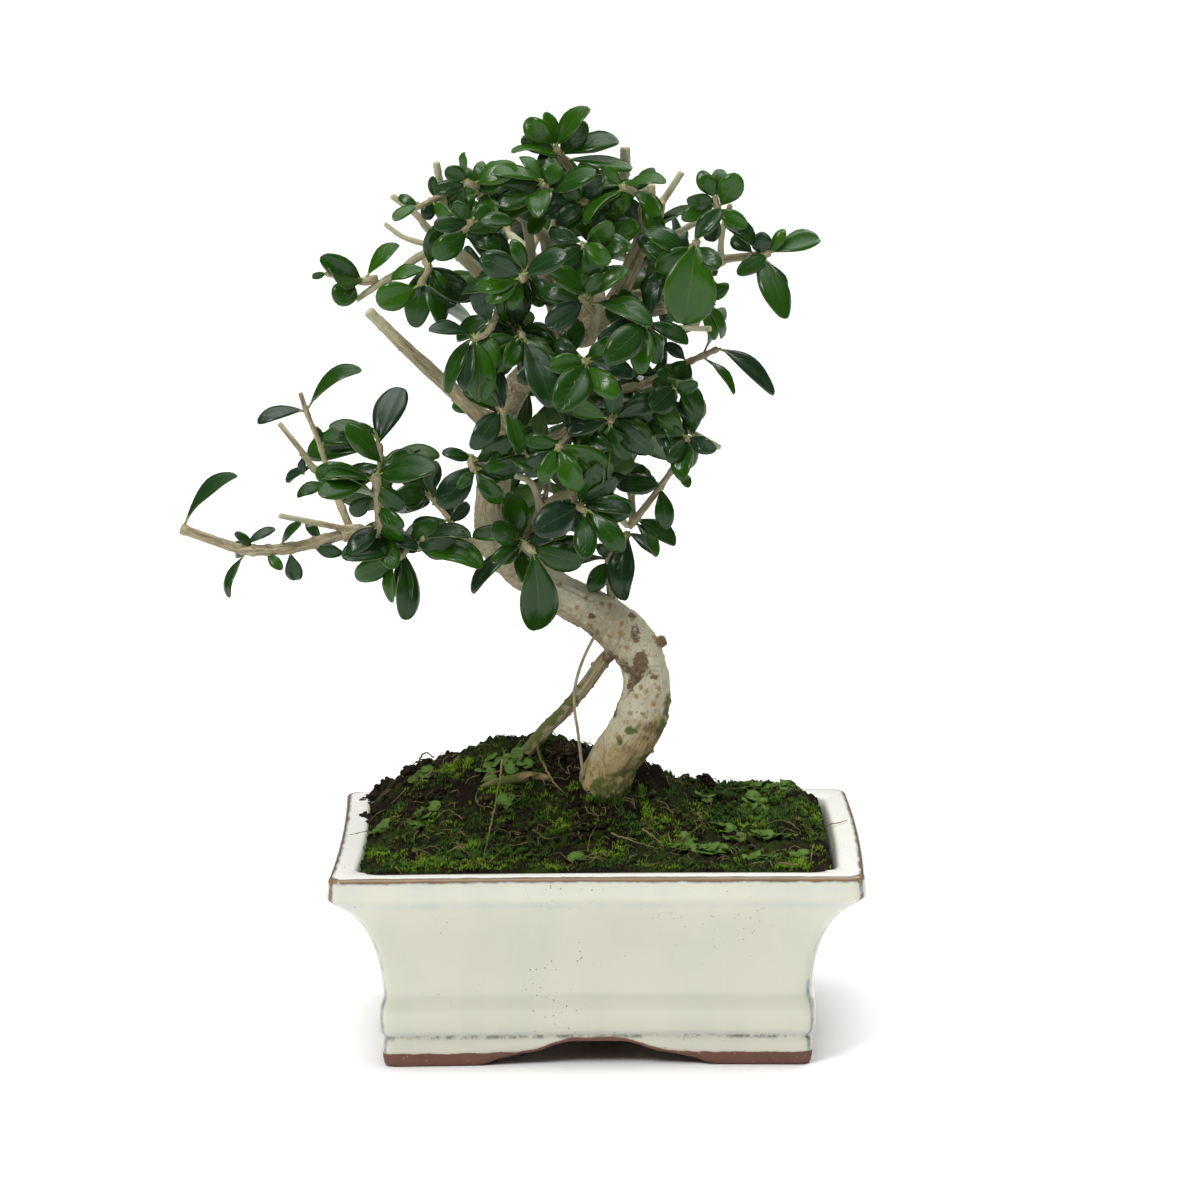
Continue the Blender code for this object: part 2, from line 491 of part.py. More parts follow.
def tube_mesh(points, radii, sides):
    """A capped tube along points, with a radius at each of them."""
    curve = bpy.data.curves.new("tube", "CURVE")
    curve.dimensions = "3D"
    curve.bevel_depth = MM
    curve.bevel_resolution = (sides - 4) // 2
    curve.use_fill_caps = True
    spline = curve.splines.new("POLY")
    spline.points.add(len(points) - 1)
    for point, place, radius in zip(spline.points, points, radii):
        point.co = (*(Vector(place) * MM), 1.0)
        point.radius = radius
    holder = bpy.data.objects.new("tube", curve)
    bpy.context.scene.collection.objects.link(holder)
    graph = bpy.context.evaluated_depsgraph_get()
    mesh = bpy.data.meshes.new_from_object(holder.evaluated_get(graph))
    bpy.data.objects.remove(holder)
    bpy.data.curves.remove(curve)
    bm = bmesh.new()
    bm.from_mesh(mesh)
    bmesh.ops.remove_doubles(bm, verts=bm.verts, dist=0.00001)
    bmesh.ops.recalc_face_normals(bm, faces=bm.faces)
    bm.to_mesh(mesh)
    bm.free()
    return mesh


def keep_main_body(mesh, name):
    """Fills hollows that fusing sealed and drops loose scraps, which are bodies apart from the main one."""
    bm = bmesh.new()
    bm.from_mesh(mesh)
    waiting = set(bm.faces)
    bodies = []
    while waiting:
        front = [waiting.pop()]
        body = list(front)
        while front:
            face = front.pop()
            for edge in face.edges:
                for other in edge.link_faces:
                    if other in waiting:
                        waiting.remove(other)
                        front.append(other)
                        body.append(other)
        bodies.append(body)
    bodies.sort(key=lambda body: -sum(face.calc_area() for face in body))
    for body in bodies[1:]:
        area = sum(face.calc_area() for face in body) / MM ** 2
        print(name, "drops a body of %.2f square mm" % area)
        bmesh.ops.delete(bm, geom=body, context="FACES")
    bm.to_mesh(mesh)
    bm.free()


def combine(name, meshes, collection, material, operation="UNION"):
    """One object from the first mesh and the others, joined to it or cut from it."""
    helpers = add_collection("helpers", True)
    base = add_object(name, meshes[0], collection)
    for mesh in meshes[1:]:
        helper = add_object("helper", mesh, helpers)
        helper.hide_render = True
        helper.display_type = "WIRE"
    if len(meshes) > 1:
        modifier = base.modifiers.new("combine", "BOOLEAN")
        modifier.operation = operation
        modifier.solver = "EXACT"
        modifier.operand_type = "COLLECTION"
        modifier.collection = helpers
        graph = bpy.context.evaluated_depsgraph_get()
        result = bpy.data.meshes.new_from_object(base.evaluated_get(graph))
        base.modifiers.clear()
        base.data = result
    for helper in list(helpers.objects):
        bpy.data.objects.remove(helper)
    bpy.data.collections.remove(helpers)
    keep_main_body(base.data, name)
    base.data.name = name
    base.data.materials.clear()
    base.data.materials.append(material)
    return base


def box_mesh(low, high):
    bm = bmesh.new()
    bmesh.ops.create_cube(bm, size=1.0)
    centre = (Vector(low) + Vector(high)) / 2
    sides = Vector(high) - Vector(low)
    bmesh.ops.scale(bm, vec=sides, verts=bm.verts)
    bmesh.ops.translate(bm, vec=centre, verts=bm.verts)
    bmesh.ops.scale(bm, vec=(MM, MM, MM), verts=bm.verts)
    mesh = bpy.data.meshes.new("box")
    bm.to_mesh(mesh)
    bm.free()
    return mesh


# Pot, soil and drain screens

def pot_outline(half_width, corner, height):
    """A rectangle with rounded corners and sides that bow outward a little."""
    half_depth = half_width - WIDTH_LESS_DEPTH
    points = []
    for quarter in range(4):
        sign_x = 1 if quarter in (0, 3) else -1
        sign_y = 1 if quarter in (0, 1) else -1
        for step in range(CORNER_STEPS + 1):
            angle = math.radians(90 * quarter + 90 * step / CORNER_STEPS)
            x = sign_x * (half_width - corner) + corner * math.cos(angle)
            y = sign_y * (half_depth - corner) + corner * math.sin(angle)
            points.append((x, y, height))
        direction = 1 if quarter in (2, 3) else -1
        for along in SIDE_POINTS:
            bow = SIDE_BOW * (1 - along * along)
            if quarter in (0, 2):
                x, y = direction * along * (half_width - corner), sign_y * (half_depth + bow)
            else:
                x, y = sign_x * (half_width + bow), direction * along * (half_depth - corner)
            points.append((x, y, height))
    return points


def arch_mesh(scale, along_x):
    """The cutter for the arches between the feet, run right through the pot."""
    half = [(x * scale, z) for x, z in ARCH]
    outline = [(-half[0][0], -1.0)] + [(-x, z) for x, z in half] + [(x, z) for x, z in reversed(half)]
    outline.append((half[0][0], -1.0))
    if along_x:
        return loft([[(side * ARCH_REACH, x, z) for x, z in outline] for side in (-1, 1)])
    return loft([[(x, side * ARCH_REACH, z) for x, z in outline] for side in (-1, 1)])


def build_pot(collection, material):
    rings = [pot_outline(half, OUTER_CORNER, z) for z, half in POT_OUTSIDE]
    rings += [pot_outline(half, INNER_CORNER, z) for z, half in POT_INSIDE]
    foot = POT_OUTSIDE[1][1] - SKIRT
    recess = [pot_outline(foot, INNER_CORNER, z) for z in (-1.0, RECESS_HEIGHT)]
    cutters = [loft(recess), arch_mesh(1.0, False), arch_mesh(SIDE_ARCH_SCALE, True)]
    for side in (-1, 1):
        place = Vector((side * DRAIN_X, 0, 0))
        ends = [place + Vector((0, 0, height)) for height in DRAIN_CUT]
        cutters.append(tube_mesh(ends, [DRAIN_RADIUS] * 2, DRAIN_SIDES))
    return combine("pot", [loft(rings)] + cutters, collection, material, "DIFFERENCE")


def build_screen(name, side, collection, material):
    floor = POT_INSIDE[-1][0] + GAP
    low = Vector((side * DRAIN_X - SCREEN_SIDE / 2, -SCREEN_SIDE / 2, floor))
    plate = box_mesh(low, low + Vector((SCREEN_SIDE, SCREEN_SIDE, SCREEN_THICK)))
    pitch = SCREEN_SIDE / SCREEN_HOLES
    holes = []
    for i in range(SCREEN_HOLES):
        for j in range(SCREEN_HOLES):
            centre = low + Vector(((i + 0.5) * pitch, (j + 0.5) * pitch, SCREEN_THICK / 2))
            reach = Vector((SCREEN_HOLE_SIDE / 2, SCREEN_HOLE_SIDE / 2, SCREEN_THICK))
            holes.append(box_mesh(centre - reach, centre + reach))
    return combine(name, [plate] + holes, collection, material, "DIFFERENCE")


def soil_height(x, y, edge):
    """Height of the soil; edge is 1 at the pot's wall and 0 in the middle."""
    height = 0.0
    for hill_x, hill_y, rise, spread_x, spread_y in SOIL_HILLS:
        off_x, off_y = (x - hill_x) / spread_x, (y - hill_y) / spread_y
        height += rise * math.exp(-off_x ** 2 / 2 - off_y ** 2 / 2)
    height *= 1 - edge ** 16
    rough = noise.noise(Vector((x, y, 7.0)) * 0.09) + 0.6 * noise.noise(Vector((x, y, 3.0)) * 0.22)
    return SOIL_LEVEL + height + SOIL_ROUGH * rough * (1 - edge ** 4)


def build_soil(stems, collection, material):
    levels = [(z, half) for z, half in POT_INSIDE[::-1] if z < SOIL_LEVEL]
    levels[0] = (levels[0][0] + GAP, levels[0][1])
    rings = [pot_outline(half - GAP, INNER_CORNER, z) for z, half in levels]
    (low_z, low_half), (high_z, high_half) = POT_INSIDE[2], POT_INSIDE[1]
    brim = low_half + (high_half - low_half) * (SOIL_LEVEL - low_z) / (high_z - low_z)
    edge_ring = pot_outline(brim - GAP, INNER_CORNER, SOIL_LEVEL)
    for share in SOIL_RINGS:
        flat = [(x * share, y * share) for x, y, z in edge_ring]
        rings.append([(x, y, soil_height(x, y, share)) for x, y in flat])
    rings.append([(0, 0, soil_height(0, 0, 0))])
    cutters = []
    for points, radii in stems:
        cutters.append(tube_mesh(points, [(radius + GAP) * HOLE_ROUND for radius in radii], HOLE_SIDES))
    for side in (-1, 1):
        reach = SCREEN_SIDE / 2 + GAP
        low = Vector((side * DRAIN_X - reach, -reach, POT_INSIDE[-1][0] - 1))
        high = Vector((side * DRAIN_X + reach, reach, POT_INSIDE[-1][0] + SCREEN_THICK + 2 * GAP))
        cutters.append(box_mesh(low, high))
    return combine("soil", [loft(rings)] + cutters, collection, material, "DIFFERENCE")


# Tree

def radii_along(first, last, count):
    return [first + (last - first) * i / (count - 1) for i in range(count)]


def limb_sides(radius):
    if radius > 3.3:
        return 8
    return 6 if radius > 2.1 else 4


def build_trunk(collection, material):
    trunk_radii = [p[3] for p in TRUNK]
    pieces = [([seen(*p[:3]) for p in TRUNK], trunk_radii, limb_sides(max(trunk_radii)))]
    for first, last, *points in LIMBS:
        radii = radii_along(first, last, len(points))
        pieces.append(([seen(*p) for p in points], radii, limb_sides(first)))
    meshes = [tube_mesh(*piece) for piece in pieces]
    return combine("trunk", meshes, collection, material)


def stems_in_soil():
    """The stretches of the trunk and of the roots that pass through the soil, as points and radii."""
    foot = [p for p in TRUNK if p[1] < TRUNK_IN_SOIL]
    stems = [([seen(*p[:3]) for p in foot], [p[3] for p in foot])]
    for first, last, *points in LIMBS:
        if points[-1][1] < LIMB_IN_SOIL:
            low = points[-3:]
            stems.append(([seen(*p) for p in low], [max(first, last)] * len(low)))
    return stems


def blade_rings(base, tip, normal, width, thick, arch, stalk_start):
    """Sections of a leaf from its stalk to its tip, as the corners of thin rectangles."""
    axis = tip - base
    across = axis.cross(normal).normalized()
    stations = LARGE_LEAF_STATIONS if width >= LARGE_LEAF else SMALL_LEAF_STATIONS
    root = stalk_start + axis.normalized() * STALK_LEAD
    sections = [[root + normal * STALK / 2, root - normal * STALK / 2]]
    for along, share in stations:
        centre = base + axis * along + normal * arch * 4 * along * (1 - along)
        side, up = across * width * share / 2, normal * thick / 2
        right, left = centre + side, centre - side
        sections.append([left + up, right + up, right - up, left - up])
    sections.append([tip + normal * thick / 2, tip - normal * thick / 2])
    return sections


def tree_of_mesh(mesh):
    points = [vertex.co.copy() for vertex in mesh.vertices]
    return BVHTree.FromPolygons(points, [tuple(face.vertices) for face in mesh.polygons])


def tree_of_rings(rings):
    return BVHTree.FromPolygons(*loft_faces(rings))


def clear_of(probe, others):
    return not any(probe.overlap(other) for other in others)


def nearest_on_twigs(place, twigs):
    """The point on the twigs nearest to a place in x and height."""
    best = None
    for points, radii in twigs:
        for start, end in zip(points, points[1:]):
            step, reach = end - start, place - start
            share = (reach.x * step.x + reach.z * step.z) / max(step.x ** 2 + step.z ** 2, 1e-6)
            inset = SUNK / step.length
            found = start + step * min(max(share, inset), 1.0 - inset)
            distance = math.hypot(found.x - place.x, found.z - place.z)
            if best is None or distance < best[0]:
                best = (distance, found)
    return best[1]


def facing_normal(axis, width, full_width):
    """Normal of a blade that shows this width from the front, its upper side turned up."""
    front = Vector((0, -1, 0))
    ahead = axis.normalized()
    normal = front - ahead * front.dot(ahead)
    if normal.length < 0.05:
        normal = Vector((0, 0, 1)) - ahead * ahead.z
    normal.normalize()
    roll = math.acos(min(width / full_width, 1.0))
    turned = [Matrix.Rotation(sign * roll, 3, ahead) @ normal for sign in (1, -1)]
    return max(turned, key=lambda n: n.z)


def place_seen_leaf(leaf, twigs, others, rng):
    """A leaf that covers its place in the front view, its tip moved in depth until it is clear."""
    base_x, base_z, tip_x, tip_z, width = leaf
    anchor = nearest_on_twigs(seen(base_x, base_z, twigs[0][0][-1].y), twigs)
    base = seen(base_x, base_z, anchor.y)
    length = math.hypot(tip_x - base_x, tip_z - base_z)
    lean = rng.uniform(*LEAN) * length * (1 if anchor.y < CROWN_MIDDLE else -1)
    for shift in DEPTH_TRIES:
        tip = seen(tip_x, tip_z, anchor.y + lean + shift)
        axis = tip - base
        full = max(width, LEAF_WIDTH_RATIO * axis.length)
        normal = facing_normal(axis, width, full)
        arch = ARCH_SHARE * axis.length
        thicker = blade_rings(base, tip, normal, full + 2 * GAP, LEAF_THICK + 2 * GAP, arch, anchor)
        if clear_of(tree_of_rings(thicker), others):
            return blade_rings(base, tip, normal, full, LEAF_THICK, arch, anchor)
    return None


def place_rule_leaf(anchor, ahead, outward, length, others, rng):
    """A leaf of an opposite pair, turned about its stalk until it is clear."""
    opening = math.radians(rng.uniform(*PAIR_OPENING))
    droop = rng.uniform(*PAIR_DROOP)
    start = ahead * math.cos(opening) + outward * math.sin(opening) + Vector((0, 0, droop))
    side = ahead.cross(outward).normalized()
    for turn in ANGLE_TRIES:
        axis = (Matrix.Rotation(math.radians(turn), 3, side) @ start).normalized()
        upright = (ahead - axis * ahead.dot(axis)).normalized()
        base = anchor + axis * PAIR_STALK
        tip = base + axis * length
        width = LEAF_WIDTH_RATIO * length
        arch = ARCH_SHARE * length
        thicker = blade_rings(base, tip, upright, width + 2 * GAP, LEAF_THICK + 2 * GAP, arch, anchor)
        if clear_of(tree_of_rings(thicker), others):
            return blade_rings(base, tip, upright, width, LEAF_THICK, arch, anchor)
    return None


def trim_start(points, radii, limbs):
    """Shortens a twig at its root until it stands clear of the limb it grows from."""
    points, radii = list(points), list(radii)
    for _ in range(TRIM_STEPS):
        probe = tree_of_mesh(tube_mesh(points, [radius + GAP for radius in radii], 6))
        if clear_of(probe, [limbs]):
            return points, radii
        if (points[1] - points[0]).length < 2 * GAP and len(points) > 2:
            points.pop(0)
            radii.pop(0)
        points[0] = points[0] + (points[1] - points[0]).normalized() * GAP
    raise RuntimeError("twig never clears the limb")


def lay_twigs(twigs, limbs):
    laid = []
    for index, (first, last, *places) in enumerate(twigs):
        start = twigs[0][2][2]
        points = [seen(x, height, start + (depth - start) * SPRAY_REACH) for x, height, depth in places]
        radii = radii_along(first, last, len(points))
        laid.append((points, radii) if index else trim_start(points, radii, limbs))
    return laid


def seen_leaves(leaves):
    return lambda twigs, others, rng: [place_seen_leaf(leaf, twigs, others, rng) for leaf in leaves]


def rule_leaves(length, pairs):
    """Opposite pairs along a twig, each pair turned a quarter from the last."""
    def make(twigs, others, rng):
        points = twigs[0][0]
        total = sum((b - a).length for a, b in zip(points, points[1:]))
        made = []
        for pair in range(pairs + 1):
            reach = total * (FIRST_PAIR + (1 - FIRST_PAIR) * pair / pairs)
            for start, end in zip(points, points[1:]):
                span = (end - start).length
                if reach <= span + 0.01:
                    break
                reach -= span
            ahead = (end - start).normalized()
            anchor = start + ahead * min(reach, span - SUNK)
            side = ahead.cross(Vector((0, 0, 1))).normalized()
            turn = math.radians(PAIR_TURN * pair + rng.uniform(-PAIR_SWAY, PAIR_SWAY))
            outward = Matrix.Rotation(turn, 3, ahead) @ side
            for sign in (1, -1):
                size = length * rng.uniform(*PAIR_SIZE)
                made.append(place_rule_leaf(anchor, ahead, outward * sign, size, others, rng))
        return made
    return make


def build_sprays(fixed, collection, material):
    """Lays all twigs, then sets each spray's leaves clear of every other piece and fuses the spray."""
    plans = [("spray_" + name, twigs, seen_leaves(leaves)) for name, twigs, leaves in SPRAYS]
    for number, (first, last, length, pairs, *points) in enumerate(RULE_TWIGS):
        name = "spray_deep_%02d" % (number + 1)
        plans.append((name, [(first, last, *points)], rule_leaves(length, pairs)))
    laid = [lay_twigs(twigs, fixed[0]) for name, twigs, make in plans]
    tubes = [[tube_mesh(points, radii, TWIG_SIDES) for points, radii in twigs] for twigs in laid]
    twig_trees = [[tree_of_mesh(tube) for tube in group] for group in tubes]
    leaf_trees = []
    for number, (name, twigs, make) in enumerate(plans):
        foreign = [tree for other, group in enumerate(twig_trees) if other != number for tree in group]
        others = fixed + leaf_trees + foreign
        leaves = make(laid[number], others, random.Random(SEED + number))
        kept = [leaf for leaf in leaves if leaf]
        leaf_trees += [tree_of_rings(leaf) for leaf in kept]
        if not all(clear_of(tree, fixed + foreign) for tree in twig_trees[number]):
            print(name, "has a twig across another piece")
        combine(name, tubes[number] + [loft(leaf) for leaf in kept], collection, material)
        print(name, "leaves", len(kept), "left out", len(leaves) - len(kept))


def centre_on_floor(collection):
    """Moves everything so that the middle of the box round it stands over the origin, on the floor."""
    corners = [vertex.co for item in collection.objects for vertex in item.data.vertices]
    low = [min(corner[axis] for corner in corners) for axis in range(3)]
    high = [max(corner[axis] for corner in corners) for axis in range(3)]
    shift = Matrix.Translation((-(low[0] + high[0]) / 2, -(low[1] + high[1]) / 2, -low[2]))
    for item in collection.objects:
        item.data.transform(shift)


def main():
    clear_scene()
    whole = add_collection("olive_bonsai", False)
    materials = {name: make_material(name) for name in COLOURS}
    build_pot(whole, materials["pot"])
    for name, side in (("drain_screen_left", -1), ("drain_screen_right", 1)):
        build_screen(name, side, whole, materials["screen"])
    trunk = build_trunk(whole, materials["bark"])
    soil = build_soil(stems_in_soil(), whole, materials["soil"])
    fixed = [tree_of_mesh(trunk.data), tree_of_mesh(soil.data)]
    build_sprays(fixed, whole, materials["leaf"])
    centre_on_floor(whole)


main()
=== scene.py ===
import math
import random

import bmesh
import bpy
from mathutils import Matrix, Vector, noise
from mathutils.bvhtree import BVHTree
from mathutils.kdtree import KDTree


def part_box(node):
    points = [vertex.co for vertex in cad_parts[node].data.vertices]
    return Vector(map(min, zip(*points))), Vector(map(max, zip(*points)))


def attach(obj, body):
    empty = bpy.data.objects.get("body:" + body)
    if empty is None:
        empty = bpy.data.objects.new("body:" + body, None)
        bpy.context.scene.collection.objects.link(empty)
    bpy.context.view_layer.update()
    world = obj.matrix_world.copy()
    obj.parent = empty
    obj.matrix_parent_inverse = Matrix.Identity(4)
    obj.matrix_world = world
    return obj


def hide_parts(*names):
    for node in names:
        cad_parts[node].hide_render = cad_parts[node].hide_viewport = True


# Olive bonsai in an ivory glazed pot, dressed over its CAD frame.
# Lengths in this script are millimetres about the pot's middle; placePiece turns them into metres.

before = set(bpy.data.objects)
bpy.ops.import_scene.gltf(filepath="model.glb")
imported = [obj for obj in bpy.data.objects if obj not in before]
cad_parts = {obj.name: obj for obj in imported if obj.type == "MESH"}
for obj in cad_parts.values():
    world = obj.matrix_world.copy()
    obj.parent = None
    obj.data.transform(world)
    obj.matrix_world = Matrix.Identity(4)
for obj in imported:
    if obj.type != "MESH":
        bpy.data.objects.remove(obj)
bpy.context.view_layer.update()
mm = 0.001
potLow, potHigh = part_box("pot")
potMiddle = Vector(((potLow.x + potHigh.x) / 2, (potLow.y + potHigh.y) / 2, 0)) / mm
eye = Vector((2, -1683, 463))  # where the photograph was taken from
dice = random.Random(7)


def seen(x, height, depth):  # the point at this depth that the camera sees at x and height
    flat = Vector((x, 0, height))
    return eye + (flat - eye) * ((depth - eye.y) / -eye.y)


def seenBack(point):  # x and height where the camera sees a point
    flat = eye + (point - eye) * (-eye.y / (point.y - eye.y))
    return flat.x, flat.z


# Mesh helpers

def keepMesh(bm, name):
    mesh = bpy.data.meshes.new(name)
    bm.to_mesh(mesh)
    bm.free()
    return mesh


def placePiece(name, mesh, materials, nodes=()):
    mesh.transform(Matrix.Scale(mm, 4) @ Matrix.Translation(potMiddle))
    mesh.shade_smooth()
    for material in materials:
        mesh.materials.append(material)
    piece = bpy.data.objects.new(name, mesh)
    bpy.context.scene.collection.objects.link(piece)
    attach(piece, "root")
    if nodes:
        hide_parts(*nodes)
    return piece


def smoothPath(points, radii, step):  # a rounder line through the same points
    path, sizes = [], []
    for i in range(len(points) - 1):
        before, start = points[max(i - 1, 0)], points[i]
        end, after = points[i + 1], points[min(i + 2, len(points) - 1)]
        count = max(1, round((end - start).length / step))
        for k in range(count):
            t = k / count
            slopeIn, slopeOut = (end - before) / 2, (after - start) / 2
            if i == 0:
                slopeIn = end - start
            if i == len(points) - 2:
                slopeOut = end - start
            path.append(start * (2 * t**3 - 3 * t**2 + 1) + slopeIn * (t**3 - 2 * t**2 + t)
                        + end * (3 * t**2 - 2 * t**3) + slopeOut * (t**3 - t**2))
            sizes.append(radii[i] + (radii[i + 1] - radii[i]) * t)
    return path + [points[-1]], sizes + [radii[-1]]


def growTube(bm, points, radii, sides):  # a ring drawn along a line, closed at both ends
    ahead = (points[1] - points[0]).normalized()
    side = ahead.orthogonal().normalized()
    ring = bmesh.ops.create_circle(bm, cap_ends=False, segments=sides, radius=1)["verts"]
    edges = list({edge for vert in ring for edge in vert.link_edges})
    startEdges, placed = edges, Matrix.Identity(4)
    for i, point in enumerate(points):
        if i:
            made = bmesh.ops.extrude_edge_only(bm, edges=edges)
            ring = newItems(made, bmesh.types.BMVert)
            edges = newItems(made, bmesh.types.BMEdge)
            ahead = (points[min(i + 1, len(points) - 1)] - points[i - 1]).normalized()
        side = (side - ahead * side.dot(ahead)).normalized()
        frameNow = Matrix((side, ahead.cross(side), ahead)).transposed().to_4x4()
        frameNow = Matrix.Translation(point) @ frameNow @ Matrix.Scale(radii[i], 4)
        bmesh.ops.transform(bm, matrix=frameNow @ placed.inverted(), verts=ring)
        placed = frameNow
    bmesh.ops.edgeloop_fill(bm, edges=startEdges)
    bmesh.ops.edgeloop_fill(bm, edges=edges)


grainStretch = 0.09  # the step of the noise along a limb against the step across it


def grainPlace(place, centre, ahead, along):  # a place for noise that is drawn out along a limb
    radial = place - centre
    radial -= ahead * radial.dot(ahead)
    return (radial + ahead * along * grainStretch) * mm


def tubeMesh(points, radii, sides):  # a tube with the place of its bark grain on each vertex
    bm = bmesh.new()
    growTube(bm, points, radii, sides)
    grain = bm.verts.layers.float_vector.new("grain")
    along = 0
    for i, vert in enumerate(bm.verts):
        ring = min(i // sides, len(points) - 1)
        if i % sides == 0 and ring > 0 and i < len(points) * sides:
            along += (points[ring] - points[ring - 1]).length
        ahead = (points[min(ring + 1, len(points) - 1)] - points[max(ring - 1, 0)]).normalized()
        vert[grain] = grainPlace(vert.co, points[ring], ahead, along)
    bmesh.ops.recalc_face_normals(bm, faces=bm.faces)
    return keepMesh(bm, "tube")


def roundCorner(x, y, halfWidth, halfDepth, corner):  # a place in a rectangle, drawn in to its round corners
    overX, overY = abs(x) - (halfWidth - corner), abs(y) - (halfDepth - corner)
    if corner and overX > 0 and overY > 0:
        pull = max(overX, overY) / math.hypot(overX, overY)
        x = math.copysign(halfWidth - corner + overX * pull, x)
        y = math.copysign(halfDepth - corner + overY * pull, y)
    return x, y


def newItems(made, kind):  # the vertices, edges or faces that an operator made
    return [item for item in made["geom"] if isinstance(item, kind)]


def gather(meshes, name):  # several meshes in one
    bm = bmesh.new()
    for mesh in meshes:
        bm.from_mesh(mesh)
        bpy.data.meshes.remove(mesh)
    return keepMesh(bm, name)


def withModifier(mesh, kind, settings):  # the mesh after this modifier
    holder = bpy.data.objects.new("holder", mesh)
    bpy.context.scene.collection.objects.link(holder)
    modifier = holder.modifiers.new(kind, kind)
    for key, value in settings.items():
        setattr(modifier, key, value)
    graph = bpy.context.evaluated_depsgraph_get()
    result = bpy.data.meshes.new_from_object(holder.evaluated_get(graph))
    bpy.data.objects.remove(holder)
    return result


def paintPoints(mesh, name, values):  # one number on each vertex, for the materials
    layer = mesh.attributes.new(name, "FLOAT", "POINT")
    layer.data.foreach_set("value", values)


def softSpot(distance, radius, blur):  # 1 within the radius and 0 beyond it, blurred between
    return min(max((radius - distance) / blur + 0.5, 0), 1)


# Material helpers

class Finish:  # a Principled material and short ways to wire nodes into it
    def __init__(self, name, **settings):
        self.material = bpy.data.materials.new(name)
        self.material.use_nodes = True
        self.tree = self.material.node_tree
        self.shader = self.tree.nodes["Principled BSDF"]
        for key, value in settings.items():
            self.shader.inputs[key.replace("_", " ")].default_value = value
        self.place = self.add("ShaderNodeTexCoord").outputs["Object"]

    def add(self, kind, inputs=None, **settings):
        node = self.tree.nodes.new(kind)
        for key, value in settings.items():
            setattr(node, key, value)
        for key, value in (inputs or {}).items():
            self.set(node.inputs[key], value)
        return node

    def set(self, socket, value):
        if isinstance(value, bpy.types.NodeSocket):
            self.tree.links.new(value, socket)
        else:
            socket.default_value = value

    def noise(self, scale, detail, rough=0.5, stretch=None, place=None):
        place = place or self.place
        if stretch:
            place = self.add("ShaderNodeMapping", {"Vector": place, "Scale": stretch}).outputs[0]
        values = {"Vector": place, "Scale": scale, "Detail": detail, "Roughness": rough}
        return self.add("ShaderNodeTexNoise", values).outputs["Fac"]

    def cells(self, scale):  # the distance to the middle of the nearest cell
        values = {"Vector": self.place, "Scale": scale}
        return self.add("ShaderNodeTexVoronoi", values).outputs["Distance"]

    def read(self, name, output="Fac"):
        return self.add("ShaderNodeAttribute", attribute_name=name).outputs[output]

    def span(self, value, low, high, lowTo=0.0, highTo=1.0):
        values = {"Value": value, "From Min": low, "From Max": high, "To Min": lowTo, "To Max": highTo}
        return self.add("ShaderNodeMapRange", values).outputs["Result"]

    def sums(self, operation, first, second):
        node = self.add("ShaderNodeMath", operation=operation)
        self.set(node.inputs[0], first)
        self.set(node.inputs[1], second)
        return node.outputs[0]

    def plus(self, first, second):
        return self.sums("ADD", first, second)

    def times(self, first, second):
        return self.sums("MULTIPLY", first, second)

    def offBy(self, value, level):  # how far a value lies from a level
        return self.sums("ABSOLUTE", self.sums("SUBTRACT", value, level), 0.0)

    def ragged(self, value, grain, amount):  # a value with a broken edge, for a span to cut
        return self.plus(value, self.times(self.sums("SUBTRACT", grain, 0.5), amount))

    def mix(self, amount, first, second):
        node = self.add("ShaderNodeMix", data_type="RGBA")
        self.set(node.inputs[0], amount)
        self.set(node.inputs[6], first)
        self.set(node.inputs[7], second)
        return node.outputs[2]

    def axis(self, letter):
        return self.add("ShaderNodeSeparateXYZ", {"Vector": self.place}).outputs[letter]

    def bump(self, height, strength, distance):
        values = {"Height": height, "Strength": strength, "Distance": distance}
        return self.add("ShaderNodeBump", values).outputs[0]

    def wire(self, **sockets):
        for key, value in sockets.items():
            self.set(self.shader.inputs[key.replace("_", " ")], value)
        return self.material


# Pot

